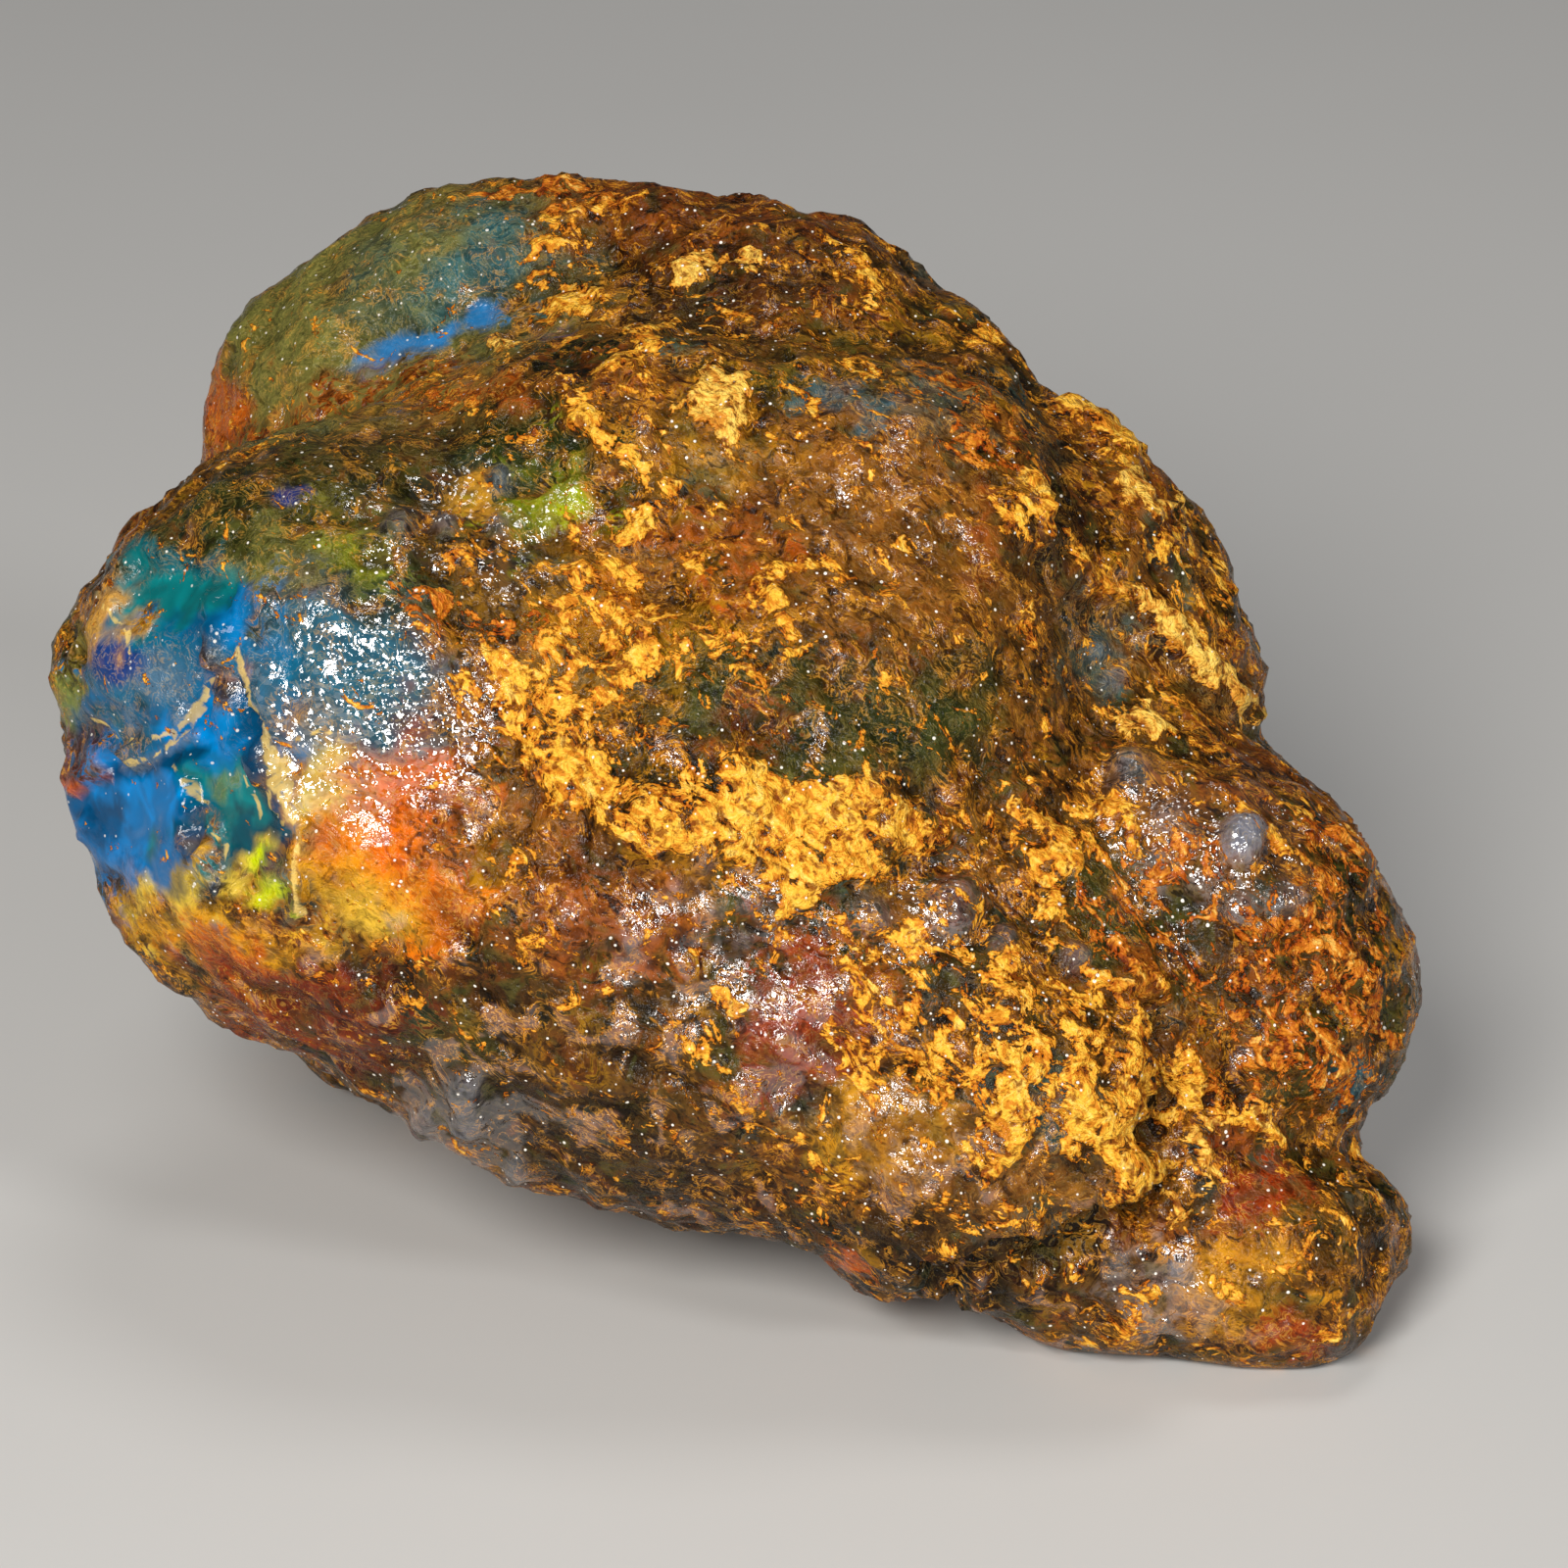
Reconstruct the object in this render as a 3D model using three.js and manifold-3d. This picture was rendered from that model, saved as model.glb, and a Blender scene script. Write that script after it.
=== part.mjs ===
// Rough amber specimen: one solid lump of fossil resin, as dug, standing on a small flat spot.
// Units are millimetres, +Z is up. The origin is on the resting plane, below the middle of the lump.
//
// The lump is described from its show side. There, "right" is +X, "out" points at a viewer who looks
// down at it by SHOW_ELEVATION degrees, and "up" is square to both. Every place below is
// [right, up, out] in millimetres from the middle of the lump.
import * as THREE from "three";
import { ImprovedNoise } from "three/addons/math/ImprovedNoise.js";
import { mergeVertices } from "three/addons/utils/BufferGeometryUtils.js";
import Module from "manifold-3d";

// Driving dimensions: the show side's tilt in degrees, and the height of the lump's middle.
const SHOW_ELEVATION = 25;
const MIDDLE_HEIGHT = 28;

// The grid that the surface is found on, in show-side millimetres.
const CELL = 2.1;
const GRID_CORNER = [-46, -44, -48];
const GRID_SIZE = [92, 84, 80];

// How often and how far the mesh's corners are evened out, and how often they are then rounded off.
const RELAX_ROUNDS = 5;
const RELAX_SHARE = 0.6;
const SETTLE_ROUNDS = 1;

// Small lengths and limits of the working.
const PROBE = 0.05;
const LEAST_SLOPE = 0.5;
const TINY = 1e-6;
const WELD = 1e-5;

// Side of the block that takes away all below the resting plane.
const SAW_SIZE = 200;

// Swellings that melt together into the lump. melt is how softly one joins those before it.
const LOBES = [
  { name: "heart", at: [-1, -0.5, -8], radii: [26, 22.5, 27], melt: 1 },
  { name: "front end", at: [-22.7, 3.9, 1], radii: [17.5, 17.1, 17.5], roll: -36, melt: 5 },
  { name: "chin", at: [-27.6, -4.6, 1], radii: [8.4, 7.8, 11], melt: 4 },
  { name: "brow", at: [-12, 12.5, -1], radii: [20.5, 12.5, 14], roll: 24, melt: 4 },
  { name: "rear dome", at: [-14, 18.1, -19], radii: [19.7, 18.1, 14], roll: 6, melt: 3 },
  { name: "crown", at: [-0.2, 17.7, -15], radii: [18.8, 17.4, 14], roll: -42, melt: 4 },
  { name: "shoulder", at: [9, 12, -1], radii: [13.5, 12.5, 13], roll: -35, melt: 5 },
  { name: "rear flank", at: [20.9, 8, -9], radii: [20.8, 8.5, 11], roll: -57, melt: 5 },
  { name: "lower flank", at: [27.2, -10.9, -1], radii: [11.4, 14.4, 12], roll: 22, melt: 4.5 },
  { name: "cheek", at: [17, -6, 1], radii: [12, 13, 11], roll: -35, melt: 3 },
  { name: "belly", at: [-9, -8.2, 2.5], radii: [29, 14, 16], roll: -25, melt: 5 },
  { name: "rear belly", at: [6, -9, -12], radii: [22, 13, 18], roll: -8, melt: 6 },
  { name: "nose", at: [13, -17, 5], radii: [14, 13, 13.5], roll: -24, melt: 4 },
  { name: "neck", at: [24.5, -20, 0], radii: [9, 7.5, 10], roll: 20, melt: 5 },
  { name: "foot", at: [26.6, -27.4, 2], radii: [12.3, 6.1, 8], roll: 14, melt: 4 },
  { name: "toe", at: [31, -28.2, 2], radii: [6.6, 7.2, 8.5], melt: 4 },
  { name: "heel", at: [-6, -8.8, -24], radii: [25, 12.4, 14], roll: 4, melt: 8 },
  { name: "hind knuckle", at: [12, 4, -24], radii: [14, 13, 12], roll: 30, melt: 5 },
];

// How far out the show side ends, and how far back the far side begins.
const SHOWN_FROM = -8;
const HIDDEN_FROM = -22;

// Grooves and ridges that run over the lump, as the paths of their middles seen along the line of
// sight. A positive height stands out and a negative one cuts in. The hidden ones are on the far side.
const FURROWS = [
  {
    name: "cleft behind the shoulder",
    path: [[18, 22], [18.2, 14], [19, 8], [20.5, 3]],
    width: 2.3, height: -1.1,
  },
  {
    name: "cleft between the flanks",
    path: [[20, 9], [23, 7], [27, 5], [33, 1]],
    width: 2.2, height: -1.3,
  },
  {
    name: "cleft beside the lower flank",
    path: [[20, 3], [22, -2], [24, -6], [26, -10]],
    width: 2.2, height: -1,
  },
  {
    name: "crease above the foot",
    path: [[12, -31], [18, -28.5], [24, -25.5], [23.6, -20], [22.6, -14]],
    width: 1.6, height: -1.1,
  },
  { name: "side notch", path: [[26, -19], [33, -20.5], [40, -20.8]], width: 2, height: -2 },
  {
    name: "valley below the rear dome",
    path: [[-34, 18], [-28, 23], [-20, 27], [-10, 29.5]],
    width: 2.2, height: -1.4,
  },
  {
    name: "ridge beside the foot crease",
    path: [[23, -14], [21.8, -19], [21.5, -24]],
    width: 1.5, height: 0.9,
  },
  { name: "neck ridge", path: [[28.5, -17.5], [25.5, -22.5]], width: 2.2, height: 0.8 },
  { name: "brow fold", path: [[-10.5, 23.5], [-7, 20], [-4, 16]], width: 2, height: 0.7 },
  { name: "pocket below the brow", path: [[-19, 20], [-12, 17.5]], width: 3.2, height: -0.9 },
  { name: "window step", path: [[-32, 10], [-30, 6], [-28, 2]], width: 1.6, height: -0.9 },
  {
    name: "hind crease", hidden: true,
    path: [[-20, 6], [-8, 2], [2, 6], [9, 16], [12, 24]],
    width: 2.4, height: -2.2,
  },
  { name: "hind fold", hidden: true, path: [[4, 4], [10, -8], [22, -14]], width: 2, height: -1.6 },
];

// Round swellings and hollows, each as wide as twice its radius, seen along the line of sight.
const KNOBS = [
  { name: "broken window", at: [-32.5, 0.5], radius: 6.5, height: -1.7 },
  { name: "window notch", at: [-40, 3.2], radius: 2.4, height: -1.4 },
  { name: "shoulder knob", at: [16, 15.5], radius: 2.4, height: 1.1 },
  { name: "upper cleft bubble", at: [23.8, -0.9], radius: 2.2, height: 1.1 },
  { name: "middle cleft bubble", at: [28.6, -4], radius: 2.3, height: 1.3 },
  { name: "lower cleft bubble", at: [28.6, -8.2], radius: 2, height: 0.9 },
  { name: "left belly bubble", at: [-17, -19.4], radius: 2.1, height: 1 },
  { name: "right belly bubble", at: [-13.4, -21.8], radius: 2, height: 1.1 },
  { name: "nose dent", at: [17.5, -22.5], radius: 2.2, height: -0.7 },
  { name: "foot pit", at: [24.5, -27.5], radius: 1.8, height: -0.9 },
  { name: "hind knob", hidden: true, at: [-14, 14], radius: 4, height: 1.6 },
  { name: "hind pit", hidden: true, at: [16, 8], radius: 2.6, height: -1.4 },
  { name: "hind hollow", hidden: true, at: [-4, -8], radius: 5, height: -1.6 },
];

// A sheet of crust that still covers part of the show side, with a clean broken edge.
const CRUST_EDGE = [
  [-8.2, 0], [-3, 0.6], [0, 0], [7.6, 0.4], [10, -2.6],
  [6.6, -4.4], [3.9, -8], [2.2, -5.8], [-5.4, -4],
];
const CRUST_THICKNESS = 1.1;
const CRUST_BEVEL = 1.1;

// The fine unevenness of the skin, coarse to fine.
const GRAIN = [
  { size: 11, rise: 1.2 },
  { size: 5, rise: 0.7 },
];

// The eight ends of a grid cube, by number, and each of its sides as one end and two steps from it.
const CUBE_AXES = [1, 2, 4];
const CUBE_ENDS = [0, 1, 2, 3, 4, 5, 6, 7].map((end) => CUBE_AXES.map((bit) => (end & bit ? 1 : 0)));
const CUBE_SIDES = [[0, 1, 2], [4, 1, 2], [0, 2, 4], [1, 2, 4], [0, 4, 1], [2, 4, 1]];

const noise = new ImprovedNoise();
const elevation = THREE.MathUtils.degToRad(SHOW_ELEVATION);
const RIGHT = new THREE.Vector3(1, 0, 0);
const UP = new THREE.Vector3(0, Math.sin(elevation), Math.cos(elevation));
const OUT = new THREE.Vector3(0, -Math.cos(elevation), Math.sin(elevation));

// A show-side place in the part's frame, with z measured from the resting plane.
function fromShowSide(place) {
  return new THREE.Vector3(0, 0, MIDDLE_HEIGHT)
    .addScaledVector(RIGHT, place.x)
    .addScaledVector(UP, place.y)
    .addScaledVector(OUT, place.z);
}

// Roughly how far a show-side place lies outside an ellipsoid, negative inside it.
function outsideLobe(lobe, place) {
  const roll = THREE.MathUtils.degToRad(lobe.roll ?? 0);
  const dx = place.x - lobe.at[0];
  const dy = place.y - lobe.at[1];
  const scaled = [
    (dx * Math.cos(roll) + dy * Math.sin(roll)) / lobe.radii[0],
    (dy * Math.cos(roll) - dx * Math.sin(roll)) / lobe.radii[1],
    (place.z - lobe.at[2]) / lobe.radii[2],
  ];
  const far = Math.hypot(...scaled);
  const slope = Math.hypot(...scaled.map((s, i) => s / lobe.radii[i]));
  return (far * (far - 1)) / Math.max(slope, TINY);
}

// The smaller of two distances, rounded off where they are within soft of each other.
function meltTogether(a, b, soft) {
  const overlap = Math.max(soft - Math.abs(a - b), 0) / soft;
  return Math.min(a, b) - (overlap * overlap * soft) / 4;
}

// Distance from a show-side place to a path, seen along the line of sight.
function awayFromPath(path, place) {
  let least = Infinity;
  for (let i = 1; i < path.length; i++) {
    const from = new THREE.Vector2(...path[i - 1]);
    const along = new THREE.Vector2(...path[i]).sub(from);
    const offset = new THREE.Vector2(place.x, place.y).sub(from);
    const share = THREE.MathUtils.clamp(offset.dot(along) / along.lengthSq(), 0, 1);
    least = Math.min(least, offset.addScaledVector(along, -share).length());
  }
  return least;
}

// How far inside a closed outline a show-side place lies, seen along the line of sight.
function insideOutline(outline, place) {
  let within = false;
  for (let i = 0, j = outline.length - 1; i < outline.length; j = i++) {
    const [ax, ay] = outline[i];
    const [bx, by] = outline[j];
    const across = ((bx - ax) * (place.y - ay)) / (by - ay) + ax;
    if (ay > place.y !== by > place.y && place.x < across) within = !within;
  }
  const away = awayFromPath([...outline, outline[0]], place);
  return within ? away : -away;
}

// What stands out of the plain lobes at a show-side place.
function relief(place) {
  const shown = THREE.MathUtils.smoothstep(place.z, HIDDEN_FROM, SHOWN_FROM);
  let height = 0;
  for (const { size, rise } of GRAIN)
    height += rise * noise.noise(place.x / size + size, place.y / size, place.z / size);
  for (const furrow of FURROWS) {
    const away = awayFromPath(furrow.path, place) / furrow.width;
    height += (furrow.hidden ? 1 - shown : shown) * furrow.height * Math.exp(-away * away);
  }
  for (const knob of KNOBS) {
    const away = Math.hypot(place.x - knob.at[0], place.y - knob.at[1]) / knob.radius;
    height += (knob.hidden ? 1 - shown : shown) * knob.height * Math.exp(-away * away);
  }
  const crust = THREE.MathUtils.smoothstep(insideOutline(CRUST_EDGE, place), -CRUST_BEVEL, CRUST_BEVEL);
  return height + shown * CRUST_THICKNESS * crust;
}

// How far a show-side place lies outside the lump.
function outside(place) {
  let least = Infinity;
  for (const lobe of LOBES) least = meltTogether(least, outsideLobe(lobe, place), lobe.melt);
  return least - relief(place);
}

// True when the chosen ends of a cube hang together along its edges.
function joined(chosen) {
  const reached = new Set(chosen.slice(0, 1));
  for (const end of reached)
    for (const bit of CUBE_AXES) if (chosen.includes(end ^ bit)) reached.add(end ^ bit);
  return reached.size === chosen.length;
}

// True when some side of a cube has solid ends at two opposite corners only.
function crossed(solid) {
  return CUBE_SIDES.some(([end, p, q]) => {
    const [a, b, c, d] = [end, end ^ p, end ^ p ^ q, end ^ q].map((n) => solid.includes(n));
    return a === c && b === d && a !== b;
  });
}

// Fills the grid wherever two sheets of the surface would share one corner of the mesh.
function fillPinches(values, count, index) {
  let again = true;
  while (again) {
    again = false;
    for (let i = 0; i < count[0] - 1; i++)
      for (let j = 0; j < count[1] - 1; j++)
        for (let k = 0; k < count[2] - 1; k++) {
          const at = CUBE_ENDS.map(([a, b, c]) => index(i + a, j + b, k + c));
          const solid = [...at.keys()].filter((n) => values[at[n]] < 0);
          if (solid.length === 0 || solid.length === at.length) continue;
          const empty = [...at.keys()].filter((n) => values[at[n]] >= 0);
          if (joined(solid) && joined(empty) && !crossed(solid)) continue;
          const nearest = empty.reduce((best, n) => (values[at[n]] < values[at[best]] ? n : best));
          values[at[nearest]] = -PROBE;
          again = true;
        }
  }
}

// The cubes of a grid that the surface runs through, each with one corner of the mesh where it does.
function netCorners(inside, count, placeOf) {
  const corners = [];
  const cornerAt = new Map();
  const edges = [...CUBE_ENDS.keys()].flatMap((end) =>
    CUBE_AXES.filter((bit) => !(end & bit)).map((bit) => [end, end | bit]),
  );
  for (let i = 0; i < count[0] - 1; i++)
    for (let j = 0; j < count[1] - 1; j++)
      for (let k = 0; k < count[2] - 1; k++) {
        const values = CUBE_ENDS.map(([a, b, c]) => inside(i + a, j + b, k + c));
        const cut = edges.filter(([a, b]) => values[a] < 0 !== values[b] < 0);
        if (!cut.length) continue;
        const sum = new THREE.Vector3();
        for (const [a, b] of cut) {
          const [from, to] = [a, b].map((end) => new THREE.Vector3(...CUBE_ENDS[end]));
          sum.add(from.lerp(to, values[a] / (values[a] - values[b])));
        }
        sum.divideScalar(cut.length).add(new THREE.Vector3(i, j, k));
        cornerAt.set(`${i},${j},${k}`, corners.length);
        corners.push(placeOf(sum));
      }
  return { corners, cornerAt };
}

// Two triangles across each grid edge that the surface crosses, facing out.
function netFaces(inside, count, cornerAt) {
  const faces = [];
  for (let i = 1; i < count[0] - 1; i++)
    for (let j = 1; j < count[1] - 1; j++)
      for (let k = 1; k < count[2] - 1; k++)
        for (let axis = 0; axis < 3; axis++) {
          const step = [0, 1, 2].map((n) => (n === axis ? 1 : 0));
          const here = inside(i, j, k) < 0;
          if (here === inside(i + step[0], j + step[1], k + step[2]) < 0) continue;
          const [p, q] = [(axis + 1) % 3, (axis + 2) % 3];
          const around = [[0, 0], [1, 0], [1, 1], [0, 1]].map(([a, b]) => {
            const cell = [i, j, k];
            cell[p] -= a;
            cell[q] -= b;
            return cornerAt.get(cell.join());
          });
          const [a, b, c, d] = here ? around : around.reverse();
          faces.push([a, b, c], [a, c, d]);
        }
  return faces;
}

// Evens the corners out along the surface, setting each back on it, and rounds them off at the end.
function relax(corners, faces) {
  const near = corners.map(() => new Set());
  for (const face of faces)
    face.forEach((corner, n) => near[corner].add(face[(n + 1) % 3]).add(face[(n + 2) % 3]));
  for (let round = 0; round < RELAX_ROUNDS + SETTLE_ROUNDS; round++) {
    const moved = corners.map((corner, n) => {
      const average = new THREE.Vector3();
      for (const other of near[n]) average.add(corners[other]);
      return corner.clone().lerp(average.divideScalar(near[n].size), RELAX_SHARE);
    });
    moved.forEach((corner, n) => corners[n].copy(round < RELAX_ROUNDS ? ontoSurface(corner) : corner));
  }
}

// One Newton step onto the surface.
function ontoSurface(place) {
  const here = outside(place);
  const slope = new THREE.Vector3(
    outside(new THREE.Vector3(place.x + PROBE, place.y, place.z)) - here,
    outside(new THREE.Vector3(place.x, place.y + PROBE, place.z)) - here,
    outside(new THREE.Vector3(place.x, place.y, place.z + PROBE)) - here,
  ).divideScalar(PROBE);
  const step = here / Math.max(slope.lengthSq(), LEAST_SLOPE ** 2);
  return place.clone().addScaledVector(slope, -THREE.MathUtils.clamp(step, -CELL / 2, CELL / 2));
}

// The whole lump as a closed mesh, before it is cut off at the resting plane.
function lumpGeometry() {
  const count = GRID_SIZE.map((size) => Math.ceil(size / CELL) + 1);
  const placeOf = (cell) => cell.clone().multiplyScalar(CELL).add(new THREE.Vector3(...GRID_CORNER));
  const values = new Float32Array(count[0] * count[1] * count[2]);
  const index = (i, j, k) => (i * count[1] + j) * count[2] + k;
  for (let i = 0; i < count[0]; i++)
    for (let j = 0; j < count[1]; j++)
      for (let k = 0; k < count[2]; k++)
        values[index(i, j, k)] = outside(placeOf(new THREE.Vector3(i, j, k)));
  const inside = (i, j, k) => values[index(i, j, k)];
  fillPinches(values, count, index);
  const { corners, cornerAt } = netCorners(inside, count, placeOf);
  const faces = netFaces(inside, count, cornerAt);
  relax(corners, faces);
  const geometry = new THREE.BufferGeometry().setFromPoints(corners.map(fromShowSide));
  geometry.setIndex(faces.flat());
  return geometry;
}

const wasm = await Module();
wasm.setup();

// A closed mesh as a solid that can be cut.
function toSolid(geometry) {
  const bare = geometry.clone();
  bare.deleteAttribute("normal");
  bare.deleteAttribute("uv");
  const merged = mergeVertices(bare, WELD);
  return new wasm.Manifold(
    new wasm.Mesh({
      numProp: 3,
      vertProperties: new Float32Array(merged.getAttribute("position").array),
      triVerts: new Uint32Array(merged.index.array),
    }),
  );
}

// A solid as a mesh again.
function toGeometry(solid) {
  const mesh = solid.getMesh();
  const geometry = new THREE.BufferGeometry();
  geometry.setAttribute("position", new THREE.BufferAttribute(new Float32Array(mesh.vertProperties), 3));
  geometry.setIndex(new THREE.BufferAttribute(new Uint32Array(mesh.triVerts), 1));
  return geometry;
}

// The lump is cut off at the resting plane, and its box is centred on the origin.
const saw = new THREE.BoxGeometry(SAW_SIZE, SAW_SIZE, SAW_SIZE).translate(0, 0, -SAW_SIZE / 2);
const lump = toGeometry(toSolid(lumpGeometry()).subtract(toSolid(saw)));
lump.computeBoundingBox();
const middle = lump.boundingBox.getCenter(new THREE.Vector3());
lump.translate(-middle.x, -middle.y, 0);
lump.computeVertexNormals();

const amber = new THREE.Mesh(
  lump,
  new THREE.MeshStandardMaterial({ color: 0x7a4a1c, roughness: 0.3, metalness: 0 }),
);
amber.name = "amber";

const specimen = new THREE.Group();
specimen.add(amber);

export default specimen;
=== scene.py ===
"""A rough lump of amber: wet dark skin, lacy ochre crust and a glassy blue window at one end."""

import logging
import math
from dataclasses import dataclass, field
from enum import Enum

import bmesh
import bpy
import numpy as np
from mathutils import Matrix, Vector, noise
from mathutils.bvhtree import BVHTree


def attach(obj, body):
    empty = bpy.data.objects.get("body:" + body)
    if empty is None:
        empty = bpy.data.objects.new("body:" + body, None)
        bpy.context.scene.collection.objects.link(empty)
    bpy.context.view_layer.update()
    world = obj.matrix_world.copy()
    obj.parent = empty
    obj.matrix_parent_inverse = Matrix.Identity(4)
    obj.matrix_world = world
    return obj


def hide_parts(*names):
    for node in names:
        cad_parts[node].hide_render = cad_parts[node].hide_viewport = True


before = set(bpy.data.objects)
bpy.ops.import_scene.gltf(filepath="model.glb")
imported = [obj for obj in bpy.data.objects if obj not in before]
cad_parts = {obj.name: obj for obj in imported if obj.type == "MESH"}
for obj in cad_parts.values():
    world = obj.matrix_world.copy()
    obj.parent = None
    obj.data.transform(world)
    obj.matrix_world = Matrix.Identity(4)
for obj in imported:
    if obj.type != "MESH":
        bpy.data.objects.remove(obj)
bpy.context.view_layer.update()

LOG = logging.getLogger("amber")
MM = 0.001
FAR = 1e6

Pair = tuple[float, float]
Triple = tuple[float, float, float]
Colour = tuple[float, float, float, float]

SCREEN_TOE = 0.04045
SCREEN_TOE_SLOPE = 12.92
SCREEN_LIFT = 0.055
SCREEN_POWER = 2.4


def linear(red: int, green: int, blue: int) -> Colour:
    """Turns a screen colour into the linear light that the shader works in.

    Args:
        red: Red, 0 to 255.
        green: Green, 0 to 255.
        blue: Blue, 0 to 255.

    Returns:
        The linear colour with full alpha.
    """
    light = []
    for part in (red / 255, green / 255, blue / 255):
        raised = ((part + SCREEN_LIFT) / (1.0 + SCREEN_LIFT)) ** SCREEN_POWER
        light.append(part / SCREEN_TOE_SLOPE if part <= SCREEN_TOE else raised)
    return (light[0], light[1], light[2], 1.0)


class Layer(Enum):
    """What a mark on the lump changes."""

    SKIN = "skin"
    CRUST = "crust"
    WINDOW = "window"
    SHAPE = "shape"


class Tone(Enum):
    """The colours of the lump, each with the layer that it lies in and how calm its surface is."""

    UMBER = (Layer.SKIN, (90, 60, 20), 0.0)
    # dark brown skin colour, also laid as painted shade along the underside rim and in the cleft
    BARK_AND_SHADE = (Layer.SKIN, (44, 27, 12), 0.2)
    # near black: dark skin colour, and painted shade where it lines grooves, creases, pits and hollows
    BLACK_AND_SHADE = (Layer.SKIN, (18, 14, 8), 0.5)
    BROWN = (Layer.SKIN, (136, 82, 24), 0.3)
    RUST = (Layer.SKIN, (148, 70, 14), 0.0)
    RED = (Layer.SKIN, (154, 48, 12), 0.5)
    FLAME = (Layer.SKIN, (226, 98, 0), 0.65)
    HONEY = (Layer.SKIN, (222, 156, 18), 0.5)
    OLIVE = (Layer.SKIN, (108, 100, 30), 0.0)
    MOSS = (Layer.SKIN, (42, 52, 18), 0.45)
    SAGE = (Layer.SKIN, (116, 114, 54), 0.6)
    SLATE = (Layer.SKIN, (48, 84, 80), 0.5)
    STEEL = (Layer.SKIN, (26, 98, 122), 0.85)
    TEAL = (Layer.SKIN, (6, 96, 112), 0.7)
    # pale grey-blue of bubbles, also laid as painted highlights: silver sheen and a glint on the window's
    # edge
    PEARL_AND_SHEEN = (Layer.SKIN, (122, 130, 146), 0.8)
    LIME = (Layer.SKIN, (208, 222, 0), 0.8)
    LEAF = (Layer.SKIN, (134, 142, 10), 0.6)
    INDIGO = (Layer.SKIN, (26, 44, 116), 0.9)
    SUN = (Layer.SKIN, (222, 190, 66), 0.75)
    WISP = (Layer.SKIN, (230, 208, 128), 0.9)
    AZURE = (Layer.WINDOW, (0, 104, 154), 1.0)
    BRIGHT_AZURE = (Layer.WINDOW, (0, 130, 204), 1.0)
    SEA = (Layer.WINDOW, (8, 122, 122), 1.0)
    DEEP_SEA = (Layer.WINDOW, (0, 44, 74), 1.0)
    GOLD = (Layer.CRUST, (250, 186, 58), 0.0)
    PALE_GOLD = (Layer.CRUST, (250, 198, 84), 0.0)
    DEEP_GOLD = (Layer.CRUST, (214, 130, 32), 0.0)
    BARE = (Layer.SHAPE, (0, 0, 0), 0.0)

    @property
    def layer(self) -> Layer:
        """The layer that the colour lies in."""
        return self.value[0]

    @property
    def colour(self) -> np.ndarray:
        """The linear colour."""
        return np.array(linear(*self.value[1])[:3])

    @property
    def calm(self) -> float:
        """How free of specks the surface is, 0 to 1."""
        return self.value[2]


@dataclass(frozen=True)
class ShowSide:
    """The side of the lump that faces the viewer, in millimetres to its right, up and out.

    Marks are placed as they are seen from the viewer's eye, on the upright plane through the middle.
    """

    elevation: float = 25.0
    middle_height: float = 28.0
    shift: Pair = (0.2578, -7.6834)
    eye: Pair = (2.286, 450.0)
    lens: float = 177.2
    sensor: float = 36.0

    def axes(self) -> np.ndarray:
        """The right, up and out directions, one a row."""
        tilt = math.radians(self.elevation)
        return np.array([
            [1.0, 0.0, 0.0],
            [0.0, math.sin(tilt), math.cos(tilt)],
            [0.0, -math.cos(tilt), math.sin(tilt)],
        ])

    def middle(self) -> np.ndarray:
        """The middle of the lump in its own frame, in millimetres."""
        return np.array([self.shift[0], self.shift[1], self.middle_height])

    def turn(self, points: np.ndarray) -> np.ndarray:
        """Turns points in millimetres, one a row, to right, up and out."""
        return (points - self.middle()) @ self.axes().T

    def back(self, places: np.ndarray) -> np.ndarray:
        """Turns places given as right, up and out to points in the lump's frame."""
        return places @ self.axes() + self.middle()

    def seen(self, places: np.ndarray) -> np.ndarray:
        """Works out where places appear from the viewer's eye.

        Args:
            places: Right, up and out of each point, one a row.

        Returns:
            The right and up of each point as seen on the middle plane.
        """
        reach = self.eye[1] / (self.eye[1] - places[:, 2])
        right = self.eye[0] + (places[:, 0] - self.eye[0]) * reach
        return np.stack([right, places[:, 1] * reach], axis=1)

    def eye_point(self) -> np.ndarray:
        """The viewer's eye in the lump's frame, in millimetres."""
        return self.back(np.array([[self.eye[0], 0.0, self.eye[1]]]))[0]


@dataclass(frozen=True)
class Spot:
    """A patch of colour, crust or relief with a ragged round outline.

    `at` and `size` are the seen place and half sizes in millimetres, `turn` is in degrees to the left,
    `weight` is how much of it is laid, and `rise` is how far the patch stands proud.
    """

    tone: Tone
    at: Pair
    size: Pair
    turn: float = 0.0
    weight: float = 1.0
    rise: float = 0.0
    soft: float = 0.35
    ragged: float = 1.0


@dataclass(frozen=True)
class Stroke:
    """A vein, ridge or crease along a few points, with a half width in millimetres."""

    tone: Tone
    points: tuple[Pair, ...]
    width: float
    weight: float = 1.0
    rise: float = 0.0
    soft: float = 0.5
    ragged: float = 0.6


@dataclass(frozen=True)
class Chip:
    """A flat glassy break in the window, tilted from the surface by a little to the right and up."""

    at: Pair
    size: Pair
    turn: float = 0.0
    tilt: Pair = (0.0, 0.0)
    depth: float = 0.3


@dataclass(frozen=True)
class Lumps:
    """Even noise whose lumps are `size` millimetres apart, moved along by `seed`, with finer layers."""

    size: float
    seed: float
    layers: int = 1
    way: Triple = (1.0, 1.7, 0.6)
    fineness: float = 0.8
    closeness: float = 2.0

    def at(self, points: np.ndarray, moved: float = 0.0) -> np.ndarray:
        """Works the noise out for points in millimetres, about -1 to 1 each; `moved` adds to the seed."""
        places = points / self.size + (self.seed + moved) * np.array(self.way)
        return np.array([
            noise.fractal(Vector(place), self.fineness, self.closeness, self.layers) for place in places
        ])


@dataclass(frozen=True)
class Ground:
    """A tone that noise lays over the whole lump, from `least` upwards and up to `weight`."""

    tone: Tone
    noise: Lumps
    least: float
    weight: float


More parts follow.
